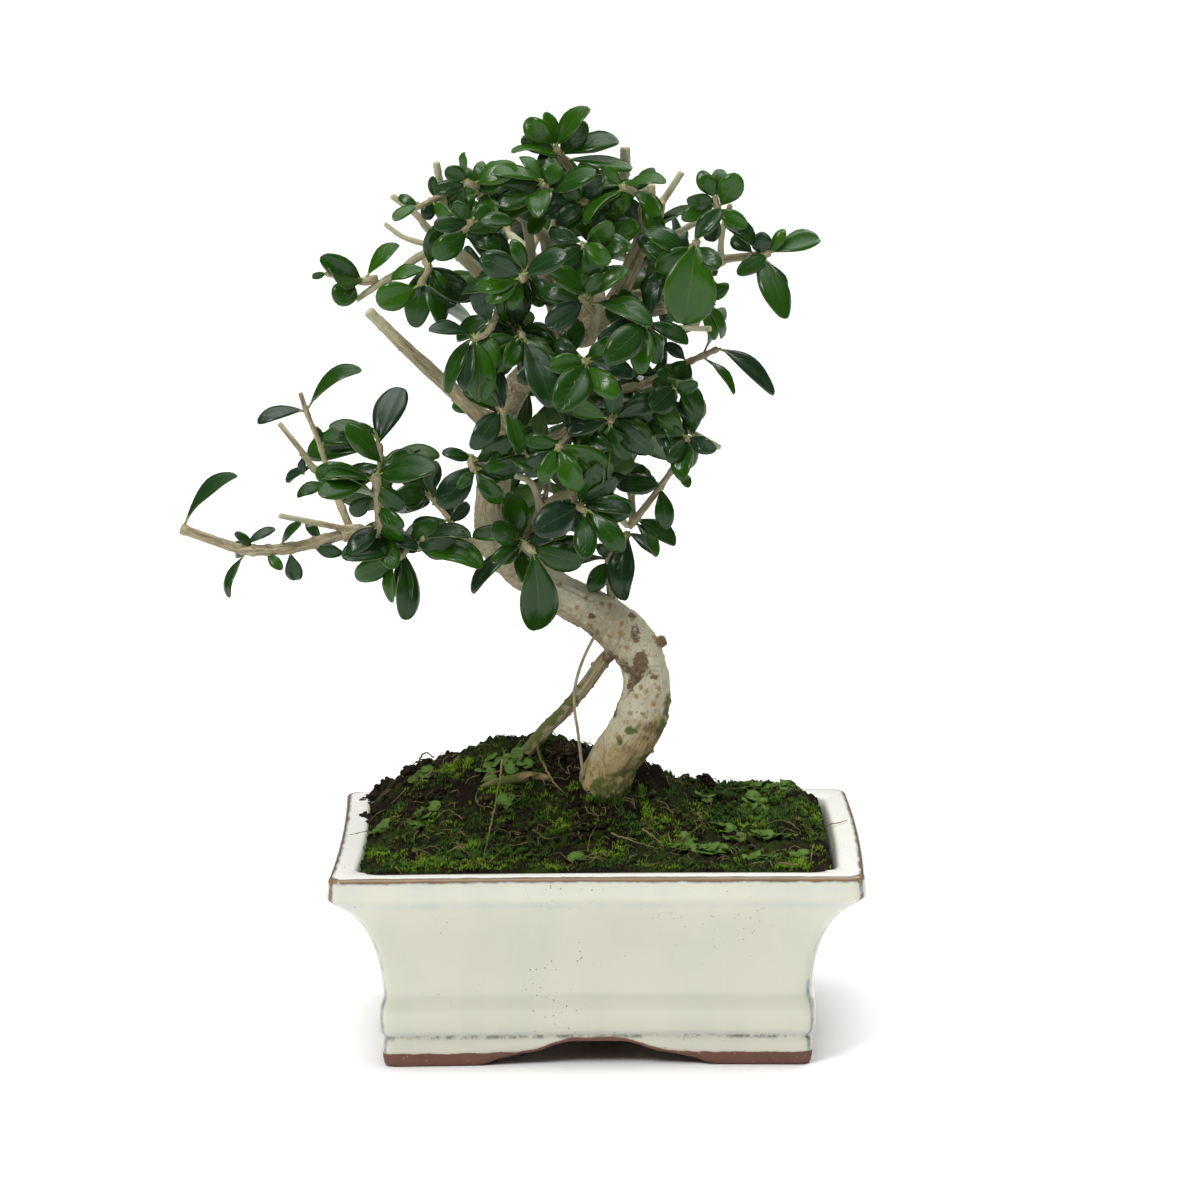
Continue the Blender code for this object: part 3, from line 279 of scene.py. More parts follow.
potShape = {
    "lessDepth": 21.5,  # half the width less half the depth
    "corner": 4.0,
    "cornerSegments": 7,
    "wallCuts": 47,  # along each of the four walls
    "innerCorner": 11.0,  # the corners inside the lip grow from nothing at lipTop to this
    "innerGrowth": 1.6,
    "lipTop": 89.6,
    "bow": 1.5,
    "outside": [  # height and half width, from the clay foot up to the lip
        (1.6, 73.1), (3.2, 73.4), (5.2, 73.6), (7.4, 73.6), (9.0, 73.4), (9.7, 72.9), (10.3, 72.8),
        (10.9, 73.2), (11.6, 73.9), (13, 74.4), (15.6, 74.6), (18.5, 74.6), (21, 74.4), (22.6, 73.9),
        (24, 73.3), (26, 73.1), (30, 73.4), (34, 74.0), (38.3, 74.8), (41.6, 75.7), (44.9, 76.8),
        (48, 78.2), (51.4, 80.0), (53.6, 81.6), (55.6, 83.3), (57.4, 85.2), (59, 87.2), (60.4, 88.7),
        (61.5, 89.8), (62.3, 90.8), (63.2, 91.0), (65.5, 90.8), (67.6, 90.6), (68.8, 90.4), (69.4, 90.1),
        (69.8, 89.6), (70, 89.0),
    ],
    "inside": [
        (70.1, 87.5), (70.15, 85.2), (70, 83.2), (69.7, 82.2), (69.1, 81.5), (68, 81.1), (64, 80.2),
        (60, 79.3), (54, 76.2), (48, 72.5), (30, 68.8), (15, 66.0),
    ],
    "skirt": 7.0,  # the foot's thickness
    "recess": 8.6,
    "arch": [  # distance from the middle of a side, and the rise of the foot's lower edge
        (46, 0), (40, 0.25), (33.5, 2.4), (29, 3.5), (25, 4.2), (21, 4.8), (18, 5.8), (15, 7.0), (12, 8.0),
        (8, 8.6), (0, 8.7),
    ],
    "sideArch": 0.62,
    "archFade": 8.9,  # height from which no ring follows the arches
    "glazeEnd": 4.9,  # lowest height of the glaze, and its least distance from the foot's edge
    "glazeGap": 1.3,
    "lipWear": {68.8: 0.66, 69.4: 1.0, 69.8: 1.0, 70: 0.6},
    "cornerWear": ((61, 0.78), (30, 0.36), (0, 0.62)),  # from this height up, how bare a corner is worn
    "drains": (-32, 32),
    "drainRadius": 7.0,
    "pools": [  # height in metres, reach, strength and whether bluish, of glaze run thick
        (0.0600, 0.0022, 0.75, True), (0.0250, 0.0018, 0.45, False), (0.0205, 0.0014, 0.35, False),
        (0.0118, 0.0012, 0.6, True), (0.0660, 0.0035, 0.25, True),
    ],
}


def archRise(x, y, halfWidth):  # how high the foot's lower edge stands here
    halfDepth = halfWidth - potShape["lessDepth"]
    along = abs(x) if abs(y) / halfDepth > abs(x) / halfWidth else abs(y) / potShape["sideArch"]
    points = potShape["arch"]
    for (far, low), (near, high) in zip(points, points[1:]):
        if near <= along <= far:
            share = (far - along) / (far - near)
            return low + (high - low) * share * share * (3 - 2 * share)
    return 0.0


def buildPot():
    shape = potShape
    firstHalf = shape["outside"][0][1]
    bm = bmesh.new()
    bmesh.ops.create_grid(bm, x_segments=1, y_segments=1, size=1)
    bmesh.ops.scale(bm, vec=(firstHalf, firstHalf - shape["lessDepth"], 1), verts=bm.verts)
    bmesh.ops.bevel(bm, geom=bm.verts[:], offset=shape["corner"], affect="VERTICES",
                    segments=shape["cornerSegments"], profile=0.5, material=-1)
    longEdges = [edge for edge in bm.edges if edge.calc_length() > 2 * shape["corner"]]
    bmesh.ops.subdivide_edges(bm, edges=longEdges, cuts=shape["wallCuts"])
    bmesh.ops.delete(bm, geom=bm.faces[:], context="FACES_ONLY")
    wear = bm.verts.layers.float.new("arris")
    glazeLine = bm.verts.layers.float.new("aboveClay")
    flats = [vert.co.copy() for vert in bm.verts]

    def setRing(ring, height, half, followArch, worn, corner):
        halfDepth = half - shape["lessDepth"]
        for vert, flat in ring:
            alongX, alongY = flat.x / firstHalf, flat.y / (firstHalf - shape["lessDepth"])
            bowX = shape["bow"] * (1 - alongY**2) * alongX**8
            bowY = shape["bow"] * (1 - alongX**2) * alongY**8
            x, y = alongX * half + bowX, alongY * halfDepth + bowY
            vert.co.x, vert.co.y = roundCorner(x, y, half, halfDepth, corner)
            rise = archRise(flat.x, flat.y, firstHalf)
            vert.co.z = height + rise * followArch
            middle = firstHalf - shape["corner"] * 0.29
            fromCorner = math.hypot(abs(flat.x) - middle, abs(flat.y) - middle + shape["lessDepth"])
            bare = next(share for level, share in shape["cornerWear"] if height >= level)
            vert[wear] = max(worn, 0 if corner else bare * softSpot(fromCorner, 0.9, 1.3))
            vert[glazeLine] = vert.co.z - max(shape["glazeEnd"], rise + shape["glazeGap"])

    skirt = firstHalf - shape["skirt"]
    levels = [  # height, half width, share of the arch, wear and corner, from inside the foot outwards
        (shape["recess"] + 0.2, skirt - 0.4, 0, 0, 0), (0.6, skirt, 0.93, 0, 0), (0, skirt + 0.6, 1, 0, 0),
        (0, firstHalf - 1.4, 1, 0, 0), (0.35, firstHalf - 0.5, 0.97, 0, 0), (0.9, firstHalf - 0.1, 0.9, 0, 0),
    ]
    for height, half in shape["outside"]:
        followArch = max(0, 1 - height / shape["archFade"])
        levels.append((height, half, followArch, shape["lipWear"].get(height, 0), 0))
    for height, half in shape["inside"]:
        corner = min(shape["innerCorner"], shape["innerGrowth"] * (shape["lipTop"] - half))
        levels.append((height, half, 0, 0, corner))
    ring = [(vert, flats[i]) for i, vert in enumerate(bm.verts)]
    edges = bm.edges[:]
    firstEdges = edges
    for i, level in enumerate(levels):
        if i:
            made = bmesh.ops.extrude_edge_only(bm, edges=edges)
            edges = newItems(made, bmesh.types.BMEdge)
            older = {tuple(vert.co): flat for vert, flat in ring}
            ring = [(vert, older[tuple(vert.co)]) for vert in newItems(made, bmesh.types.BMVert)]
        setRing(ring, *level)
    bmesh.ops.edgeloop_fill(bm, edges=firstEdges)
    bmesh.ops.edgeloop_fill(bm, edges=edges)
    bmesh.ops.recalc_face_normals(bm, faces=bm.faces)
    mesh = keepMesh(bm, "potGlazed")

    cutter = bmesh.new()
    for x in shape["drains"]:
        bmesh.ops.create_cone(cutter, cap_ends=True, segments=40, radius1=shape["drainRadius"],
                              radius2=shape["drainRadius"], depth=16, matrix=Matrix.Translation((x, 0, 12)))
    cutterPiece = bpy.data.objects.new("drainCutter", keepMesh(cutter, "drainCutter"))
    boolean = {"operation": "DIFFERENCE", "solver": "EXACT", "object": cutterPiece}
    mesh = withModifier(mesh, "BOOLEAN", boolean)
    bpy.data.objects.remove(cutterPiece)
    return mesh


def potFinish():
    f = Finish("ivoryGlaze", Roughness=0.16, IOR=1.5)
    height = f.axis("Z")
    cloud = f.noise(28, 3)
    fine = f.noise(190, 5, 0.6)
    streak = f.noise(60, 4, 0.6, stretch=(1, 1, 0.12))
    body = f.mix(cloud, (0.59, 0.575, 0.465, 1), (0.64, 0.63, 0.525, 1))
    body = f.mix(f.span(streak, 0.45, 0.75, 0, 0.5), body, (0.53, 0.54, 0.455, 1))
    # painted highlight: the up-facing lip is painted whiter, where the light from above falls on it
    body = f.mix(f.span(height, 0.0690, 0.0699), body, (0.86, 0.85, 0.78, 1))
    # bluish pooling under the rim band, above the base band and along the faint ledges
    for level, reach, strength, blue in potShape["pools"]:
        near = f.span(f.offBy(height, level), 0, reach, 1, 0)
        band = f.times(near, f.span(streak, 0.36, 0.62, 0.15, 1))
        tint = (0.46, 0.52, 0.55, 1) if blue else (0.56, 0.57, 0.51, 1)
        body = f.mix(f.times(band, strength), body, tint)
    # brown specks fired into the glaze
    specks = f.span(f.cells(420), 0.09, 0.15, 1, 0)
    specks = f.times(specks, f.span(f.noise(45, 3, 0.6), 0.53, 0.62))
    body = f.mix(f.times(specks, 0.8), body, (0.16, 0.09, 0.04, 1))
    # dark broken line on the ledge over the base band
    ledge = f.span(f.offBy(height, 0.0103), 0.0002, 0.0011, 1, 0)
    ledge = f.times(ledge, f.span(f.noise(260, 3, 0.7), 0.44, 0.60))
    body = f.mix(f.times(ledge, 0.75), body, (0.09, 0.10, 0.11, 1))
    # glaze worn thin on the arrises: brown body shows, edged in blue-grey
    worn = f.read("arris")
    broken = f.ragged(worn, fine, 0.9)
    body = f.mix(f.span(broken, 0.26, 0.50, 0, 0.8), body, (0.27, 0.31, 0.32, 1))
    brownTone = f.mix(f.noise(150, 3), (0.10, 0.052, 0.022, 1), (0.25, 0.155, 0.07, 1))
    body = f.mix(f.span(broken, 0.52, 0.66, 0, 0.95), body, brownTone)
    # bare clay below the glaze line
    edge = f.ragged(f.read("aboveClay"), fine, 1.6)
    clay = f.mix(f.noise(120, 5, 0.7), (0.115, 0.045, 0.03, 1), (0.19, 0.085, 0.06, 1))
    clay = f.mix(f.span(f.cells(420), 0.1, 0.2, 0.5, 0), clay, (0.35, 0.24, 0.18, 1))
    isClay = f.span(edge, -0.25, 0.15, 1, 0)
    body = f.mix(f.span(edge, -0.4, 0.9, 0.45, 0), body, (0.50, 0.42, 0.32, 1))
    body = f.mix(isClay, body, clay)
    rough = f.plus(f.span(fine, 0.3, 0.7, 0.10, 0.22), f.times(isClay, 0.62))
    dent = f.plus(f.times(cloud, 0.5), f.times(fine, f.span(isClay, 0, 1, 0.06, 0.5)))
    return f.wire(Base_Color=body, Roughness=rough, Normal=f.bump(dent, 0.35, 0.0006))


screenShape = {
    "cells": 10,
    "half": 11,
    "wire": 0.5,
    "stretch": 1.1,  # in height
    "height": 15.9,
}


def buildScreen(x):  # a square of plastic mesh over a drain hole
    shape = screenShape
    bm = bmesh.new()
    bmesh.ops.create_grid(bm, x_segments=shape["cells"], y_segments=shape["cells"], size=shape["half"])
    bmesh.ops.wireframe(bm, faces=bm.faces[:], thickness=shape["wire"], use_replace=True, use_boundary=True,
                        use_even_offset=True)
    bmesh.ops.scale(bm, vec=(1, 1, shape["stretch"]), verts=bm.verts)
    bmesh.ops.translate(bm, vec=(x, 0, shape["height"]), verts=bm.verts)
    return keepMesh(bm, "drainScreen")


def screenFinish():
    f = Finish("blackScreen", Roughness=0.5)
    tone = f.mix(f.noise(300, 3), (0.012, 0.012, 0.012, 1), (0.035, 0.034, 0.03, 1))
    return f.wire(Base_Color=tone, Roughness=f.span(f.noise(500, 2), 0.3, 0.7, 0.4, 0.65))


potPiece = placePiece("potGlazed", buildPot(), [potFinish()], ["pot"])
for side, x in zip(("left", "right"), potShape["drains"]):
    placePiece("screen_" + side, buildScreen(x), [screenFinish()], ["drain_screen_" + side])
print("pot", len(potPiece.data.polygons), "faces")


# Soil, with moss, liverwort and dry roots on it

soilShape = {
    "level": 68.6,
    "halfWidth": 80.7,
    "corner": 10.5,
    "hills": [  # x, y, height, spread in x, spread in y, as the CAD mound has them
        (-18, 22, 28, 28, 26), (-60, 40, 11, 24, 20), (56, 42, 8, 34, 20), (8, 2, 7, 15, 12),
        (20, 13, 7, 8, 8),
    ],
    "cells": (190, 150),
    "under": 6.0,  # depth of the piece below the rim level
    "taper": (0.97, 0.96),  # its lower edge against its upper one
    "front": -58,  # where the search for the seen soil starts, its step and its count of steps
    "searchStep": 0.5,
    "searchCount": 233,
    "tiltReach": 2.5,
}
soilHalfDepth = soilShape["halfWidth"] - potShape["lessDepth"]


def soilHeight(x, y):
    edge = min(max(abs(x) / soilShape["halfWidth"], abs(y) / soilHalfDepth), 1)
    height = 0
    for hillX, hillY, rise, spreadX, spreadY in soilShape["hills"]:
        height += rise * math.exp(-((x - hillX) / spreadX) ** 2 / 2 - ((y - hillY) / spreadY) ** 2 / 2)
    height *= 1 - edge**16
    broad = noise.noise(Vector((x, y, 7)) * 0.09) + 0.6 * noise.noise(Vector((x, y, 3)) * 0.22)
    return soilShape["level"] + height + 1.3 * broad * (1 - edge**4) - 0.9 * edge**10


def soilCrumb(x, y):  # the rough of clods and fibres on that height
    spot = Vector((x, y, 0))
    clods = abs(noise.noise(spot * 0.21)) * 3.2
    lumps = abs(noise.noise(spot * 0.5 + Vector((9, 0, 0)))) * 2.4
    grit = noise.noise(spot * 1.3) * 0.8
    return clods + lumps + grit - 1.5


def soilTilt(x, y):  # the turn from upright to the slope of the soil
    reach = soilShape["tiltReach"]
    riseX = soilHeight(x + reach, y) - soilHeight(x - reach, y)
    riseY = soilHeight(x, y + reach) - soilHeight(x, y - reach)
    return Vector((-riseX, -riseY, 2 * reach)).to_track_quat("Z", "Y").to_matrix().to_4x4()


def onSoil(x, height):  # the nearest place on the soil that the camera sees at x and height
    place = seen(x, height, soilShape["front"])
    if place.z <= soilHeight(place.x, place.y):
        return place
    for step in range(soilShape["searchCount"]):
        place = seen(x, height, soilShape["front"] + step * soilShape["searchStep"])
        if place.z <= soilHeight(place.x, place.y):
            break
    return Vector((place.x, place.y, soilHeight(place.x, place.y)))


def buildSoil():
    halfWidth = soilShape["halfWidth"]
    across, along = soilShape["cells"]
    bm = bmesh.new()
    bmesh.ops.create_grid(bm, x_segments=across, y_segments=along, size=1)
    for vert in bm.verts:
        x, y = vert.co.x * halfWidth, vert.co.y * soilHalfDepth
        x, y = roundCorner(x, y, halfWidth, soilHalfDepth, soilShape["corner"])
        vert.co = (x, y, soilHeight(x, y) + soilCrumb(x, y))
    rim = [edge for edge in bm.edges if edge.is_boundary]
    made = bmesh.ops.extrude_edge_only(bm, edges=rim)
    taperX, taperY = soilShape["taper"]
    for vert in newItems(made, bmesh.types.BMVert):
        vert.co.z = soilShape["level"] - soilShape["under"]
        vert.co.x *= taperX
        vert.co.y *= taperY
    bmesh.ops.edgeloop_fill(bm, edges=newItems(made, bmesh.types.BMEdge))
    bmesh.ops.recalc_face_normals(bm, faces=bm.faces)
    return keepMesh(bm, "soilBed")


def scatter(template, places):  # a copy of the small mesh at each matrix
    bm = bmesh.new()
    for place in places:
        copy = template.copy()
        copy.transform(place)
        bm.from_mesh(copy)
        bpy.data.meshes.remove(copy)
    return keepMesh(bm, template.name)


def randomTurn():
    turn = Matrix.Rotation(dice.uniform(0, 6.28), 4, "Z") @ Matrix.Rotation(dice.uniform(0, 3.1), 4, "X")
    return turn @ Matrix.Rotation(dice.uniform(0, 6.28), 4, "Z")


def leaning(most):  # upright, tipped a little in some direction
    tip = Matrix.Rotation(dice.uniform(0, most), 4, "X")
    turn = Matrix.Rotation(dice.uniform(0, 6.28), 4, "Z")
    return turn @ tip @ Matrix.Rotation(dice.uniform(0, 6.28), 4, "Z")


crumbs = {
    "everywhere": 700,
    "heaps": [  # x, height, spread, rise, count: clods of bare peat
        (-77, 84, 7, 5, 260), (-72, 88, 8, 4, 200), (-64, 92, 8, 3, 120), (31, 90, 4.5, 7, 300),
        (25, 94, 4, 5, 150), (38, 87, 5, 3, 120), (-10, 97, 10, 2, 200), (12, 86, 7, 1, 60),
        (-4, 70, 14, 2, 140), (-60, 80, 10, 2, 140), (-30, 72, 14, 1, 120), (-80, 74, 5, 3, 140),
    ],
    "size": (0.5, 1.9),
    "fromEdge": 4,
}


def buildCrumbs():
    bm = bmesh.new()
    bmesh.ops.create_icosphere(bm, subdivisions=1, radius=1)
    for vert in bm.verts:
        vert.co *= 1 + 0.28 * noise.noise(vert.co * 2.3)
    template = keepMesh(bm, "soilCrumbs")
    places = []

    def drop(x, y, rise=0.0):
        small, large = crumbs["size"]
        size = small + (large - small) * dice.random() ** 2.2
        stretch = Matrix.Diagonal((size, size * dice.uniform(0.5, 0.9), size * dice.uniform(0.4, 0.8), 1))
        spot = Vector((x, y, soilHeight(x, y) + soilCrumb(x, y) + size * 0.12 + rise))
        places.append(Matrix.Translation(spot) @ randomTurn() @ stretch)

    reachX, reachY = soilShape["halfWidth"] - crumbs["fromEdge"], soilHalfDepth - crumbs["fromEdge"]
    for _ in range(crumbs["everywhere"]):
        drop(dice.uniform(-1, 1) * reachX, dice.uniform(-1, 1) * reachY)
    for x, height, spread, rise, count in crumbs["heaps"]:
        middle = onSoil(x, height)
        for _ in range(count):
            offX, offY = dice.gauss(0, spread / 2), dice.gauss(0, spread / 2)
            pile = rise * math.exp(-(math.hypot(offX, offY) / spread * 1.6) ** 2) * dice.random() ** 0.5
            drop(middle.x + offX, min(middle.y + offY, soilHalfDepth - 3), pile)
    return scatter(template, places)


moss = {
    "patches": [  # x, height, spread in x, spread in y, tufts
        (16.7, 75.2, 9, 9, 420), (44.4, 84.3, 13, 12, 820), (56.4, 74.4, 16, 12, 1000), (72, 78, 11, 16, 800),
        (76, 70.5, 6, 12, 320), (-29, 62.5, 14, 9, 520), (-53, 60.5, 20, 10, 900), (5.2, 61.5, 10, 7, 320),
        (-76, 63, 7, 9, 320), (-43.6, 67.6, 16, 10, 560), (7.1, 87, 8, 4, 220), (-21.6, 99, 9, 7, 260),
        (-50, 92, 12, 8, 300), (20, 68, 16, 9, 420), (-12, 72, 14, 10, 300), (62, 60, 14, 8, 360),
        (-70, 57.5, 14, 4, 200), (-45, 57.5, 16, 4, 260), (-15, 57.5, 16, 4, 160), (15, 57.5, 16, 4, 160),
        (45, 57.5, 16, 4, 220), (70, 57.5, 12, 4, 220), (78, 66, 4, 12, 240), (34, 74, 12, 9, 420),
        (-62, 74, 12, 12, 300), (-30, 80, 16, 10, 260), (0, 80, 12, 8, 200), (-8, 84, 6, 3, 120),
        (13, 84.5, 6, 2.5, 200), (4, 82.5, 7, 2, 180), (-28, 88, 8, 2.5, 160),
    ],
    "back": [  # x, y, spread, tufts on the side away from the camera
        (30, 44, 16, 260), (-30, 50, 18, 300), (66, 30, 10, 160), (-68, 10, 10, 200), (0, 52, 16, 200),
    ],
    "tall": (0.9, 2.3),
    "radius": 0.34,
    "sparse": -0.16,  # no moss where the noise of the clumps is lower
    "perTuft": 3,
}


def buildMoss():  # short pointed shoots standing in cushions
    bm = bmesh.new()
    bmesh.ops.create_cone(bm, cap_ends=False, cap_tris=False, segments=3, radius1=moss["radius"], radius2=0.0,
                          depth=1, matrix=Matrix.Translation((0, 0, 0.5)))
    bmesh.ops.holes_fill(bm, edges=bm.edges, sides=0)
    template = keepMesh(bm, "mossShoots")
    places = []
    shoots = [(onSoil(x, height), sx, sy, n) for x, height, sx, sy, n in moss["patches"]]
    shoots += [(Vector((x, y, 0)), spread, spread, n) for x, y, spread, n in moss["back"]]
    for middle, spreadX, spreadY, count in shoots:
        for _ in range(count):
            x, y = middle.x + dice.gauss(0, spreadX / 2), middle.y + dice.gauss(0, spreadY / 2)
            if abs(x) > soilShape["halfWidth"] - 1 or abs(y) > soilHalfDepth - 1:
                continue
            clump = noise.noise(Vector((x, y, 5)) * 0.35)
            if clump < moss["sparse"]:
                continue
            tall = dice.uniform(*moss["tall"]) * (0.8 + clump)
            spot = Vector((x, y, soilHeight(x, y) + soilCrumb(x, y) - 0.2 + 0.7 * max(clump, 0)))
            for _ in range(moss["perTuft"]):
                nudge = Matrix.Translation(spot + Vector((dice.gauss(0, 0.4), dice.gauss(0, 0.4), 0)))
                places.append(nudge @ leaning(0.7) @ Matrix.Diagonal((0.8, 0.8, tall, 1)))
                dice.random()  # one more draw for each shoot, which the later pieces count on
    return scatter(template, places)


liverwort = {
    "patches": [  # x, height, spread, lobes
        (-61, 74.6, 5.5, 9), (-75.5, 70.9, 3, 5), (-36, 93.2, 5.5, 9), (-26.5, 94.6, 5, 8),
        (-31.4, 79.8, 2.5, 4), (-5.7, 60, 2.6, 4), (34, 63.6, 7, 16), (43, 62.5, 5, 9), (49.2, 66.4, 3, 5),
        (45.6, 70.1, 3, 5), (57.6, 68.2, 4, 7), (66.1, 67.5, 3.5, 5), (56.4, 79.3, 5, 8),
        (38.4, 81.3, 3.2, 5), (52.8, 85.8, 5, 9), (61.3, 86, 6, 10), (68.5, 85.2, 5, 8), (56.4, 59.4, 3.4, 5),
        (70.9, 60.4, 2.6, 4), (-60, 90, 4, 5),
    ],
    "lobe": (1.7, 3.0),
    "segments": 28,
    "thick": 0.28,
    "fromEdge": 3.5,
    "goldenTurn": 2.4,  # between one lobe and the next
}


def buildLiverwort():  # flat scalloped lobes that overlap in rosettes
    meshes = []
    edge = soilHalfDepth - liverwort["fromEdge"]
    for x, height, spread, lobes in liverwort["patches"]:
        middle = onSoil(x, height)
        for k in range(lobes):
            angle = liverwort["goldenTurn"] * k + dice.uniform(-0.4, 0.4)
            reach = spread * math.sqrt((k + 0.5) / lobes)
            size = dice.uniform(*liverwort["lobe"])
            bm = bmesh.new()
            bmesh.ops.create_circle(bm, cap_ends=True, cap_tris=True, segments=liverwort["segments"],
                                    radius=size)
            for vert in bm.verts:
                radius = vert.co.length
                if radius < 0.01:
                    vert.co.z = -0.3
                    continue
                bearing = math.atan2(vert.co.y, vert.co.x)
                notch = 0.45 * math.exp(-((math.pi - abs(bearing)) / 0.3) ** 2)
                vert.co *= 1 - notch - 0.11 * (1 - abs(math.sin(3.5 * bearing + k)))
                vert.co.z = 0.5 * noise.noise(Vector((bearing * 1.3, k, x)))
            bmesh.ops.solidify(bm, geom=bm.faces[:], thickness=liverwort["thick"])
            spotX, spotY = middle.x + math.cos(angle) * reach, middle.y + math.sin(angle) * reach
            spotY = min(max(spotY, -edge), edge)
            rise = soilCrumb(spotX, spotY) * 0.5 + 1.1 + 0.2 * (k % 3)
            spot = Vector((spotX, spotY, soilHeight(spotX, spotY) + rise))
            turn = soilTilt(spotX, spotY) @ Matrix.Rotation(angle + dice.uniform(-0.5, 0.5), 4, "Z")
            tip = Matrix.Rotation(dice.uniform(-0.45, 0.25), 4, "Y")
            tip = tip @ Matrix.Rotation(dice.gauss(0, 0.25), 4, "X")
            bmesh.ops.transform(bm, matrix=Matrix.Translation(spot) @ turn @ tip, verts=bm.verts)
            bmesh.ops.recalc_face_normals(bm, faces=bm.faces)
            meshes.append(keepMesh(bm, "lobe"))
    return gather(meshes, "liverwortLobes")


# Dry roots and straws: radius, then points as x, height seen from the front and rise over the soil
dryRoots = [
    (0.42, (-32.3, 94.9, 14), (-34, 84, 10), (-37, 70, 5), (-39.5, 59.5, 0.4)),
    (0.5, (-20.1, 102.5, 5), (-19.6, 97, 5), (-16.9, 90.8, 4), (-14, 86, 2.5), (-10.4, 82.8, 0.6)),
    (0.35, (5.2, 68.5, 1.5), (12, 66, 2.2), (20.3, 63.5, 1.2)),
    (0.35, (16.1, 70.3, 1.6), (20, 67.5, 2.4), (23.9, 63.4, 1)),
    (0.32, (59.5, 71.2, 1.2), (63, 72.6, 3.2), (67, 72.4, 3.6), (70, 70.6, 2.6), (72.1, 68.7, 1)),
    (0.55, (-71.6, 94.9, 5), (-68, 96, 4.6), (-64.9, 97.9, 4), (-60, 97.6, 3), (-56, 96.2, 1)),
    (0.3, (29.9, 65.9, 1.5), (33, 68.6, 2.6), (37.8, 72, 1.4)),
    (0.3, (69.7, 56.9, 1.4), (66, 57.3, 1.8), (62.5, 57.2, 1.2)),
    (0.3, (-37.7, 58.2, 1), (-34, 61.4, 1.6), (-31, 64.4, 1)),
    (0.3, (-39.8, 87.3, 1), (-36, 90, 2), (-32.5, 91.6, 1.4)),
    (0.32, (-19.3, 89.6, 1.4), (-23, 89, 2.2), (-26.6, 87.2, 1)),
    (0.28, (-52, 62, 1), (-48, 64, 1.8), (-44, 61, 0.8)),
    (0.28, (-3, 62, 1), (-2, 67, 2), (0, 71, 1)),
    (0.28, (76, 64, 1), (75.4, 60, 1.6), (75, 56.6, 0.8)),
    (0.3, (-22, 70, 1), (-17, 66.6, 2), (-13, 67.6, 1)),
    (0.25, (-80, 70, 0.6), (-84, 69, 1.6), (-88, 68.6, 1.4)),
    (0.25, (80, 71, 1.4), (84, 71.8, 2.2), (88, 73, 2.6)),
]
surfaceRoot = [  # the pale root that lies along the soil: radius, x, height
    (0.8, -40, 85.5), (1.4, -35, 87), (1.9, -28, 88.6), (1.7, -22, 89.4), (0.9, -16, 89),
]


rootRule = {
    "thinning": 0.5,
    "wander": 0.12,
    "fibres": 280,
    "fibreField": (74, 50),
    "fibreReach": (2.5, 8),
    "fibreRadii": [0.2, 0.18, 0.16, 0.13, 0.1],
}


def buildDryRoots():
    meshes = []
    wander = rootRule["wander"]
    for radius, *points in dryRoots:
        line = []
        for x, height, rise in points:
            foot = onSoil(x, height - rise)
            line.append(foot + Vector((0, 0, rise + 0.9)))
        radii = [radius * (1 - rootRule["thinning"] * i / (len(line) - 1)) for i in range(len(line))]
        path, sizes = smoothPath(line, radii, 1.2)
        path = [point + Vector([dice.gauss(0, wander) for _ in range(3)]) for point in path]
        meshes.append(tubeMesh(path, sizes, 6))
    line = [onSoil(x, height) + Vector((0, 0, radius * 0.2 + 0.3)) for radius, x, height in surfaceRoot]
    path, sizes = smoothPath(line, [radius for radius, x, height in surfaceRoot], 1.0)
    sizes = [size * (1 + 0.3 * noise.noise(point * 0.5)) for size, point in zip(sizes, path)]
    meshes.append(tubeMesh(path, sizes, 12))
    fieldX, fieldY = rootRule["fibreField"]
    for _ in range(rootRule["fibres"]):  # short fibres
        x, y = dice.uniform(-fieldX, fieldX), dice.uniform(-fieldY, fieldY)
        start = Vector((x, y, soilHeight(x, y) + 0.6))
        turn = dice.uniform(0, 6.28)
        reach = dice.uniform(*rootRule["fibreReach"])
        line = []
        for k in range(5):
            flat = start + Vector((math.cos(turn), math.sin(turn), 0)) * reach * k / 4
            flat.z = soilHeight(flat.x, flat.y) + 0.9 + 1.1 * math.sin(k * 0.8) + dice.gauss(0, 0.2)
            turn += dice.uniform(-0.5, 0.5)
            line.append(flat)
        meshes.append(tubeMesh(line, rootRule["fibreRadii"], 4))
    return gather(meshes, "dryRoots")


def soilFinish():
    f = Finish("peatySoil", Roughness=0.95, Specular_IOR_Level=0.12)
    dark = f.mix(f.noise(420, 6, 0.7), (0.002, 0.0015, 0.001, 1), (0.019, 0.0115, 0.006, 1))
    dark = f.mix(f.span(f.noise(90, 3), 0.54, 0.74), dark, (0.035, 0.020, 0.010, 1))
    film = f.times(f.span(f.noise(45, 4, 0.6), 0.46, 0.58), f.span(f.noise(600, 3), 0.36, 0.56))
    dark = f.mix(f.times(film, 0.85), dark, (0.022, 0.048, 0.003, 1))
    bumps = f.plus(f.noise(700, 6, 0.75), f.times(f.noise(2200, 3, 0.7), 0.4))
    return f.wire(Base_Color=dark, Normal=f.bump(bumps, 0.9, 0.0008))


def crumbFinish():
    f = Finish("peatClods", Roughness=0.9, Specular_IOR_Level=0.15)
    tone = f.mix(f.noise(900, 4, 0.7), (0.005, 0.0035, 0.0025, 1), (0.028, 0.017, 0.009, 1))
    tone = f.mix(f.span(f.noise(160, 2), 0.60, 0.74), tone, (0.07, 0.045, 0.024, 1))
    return f.wire(Base_Color=tone, Normal=f.bump(f.noise(2500, 4, 0.7), 0.8, 0.0004))


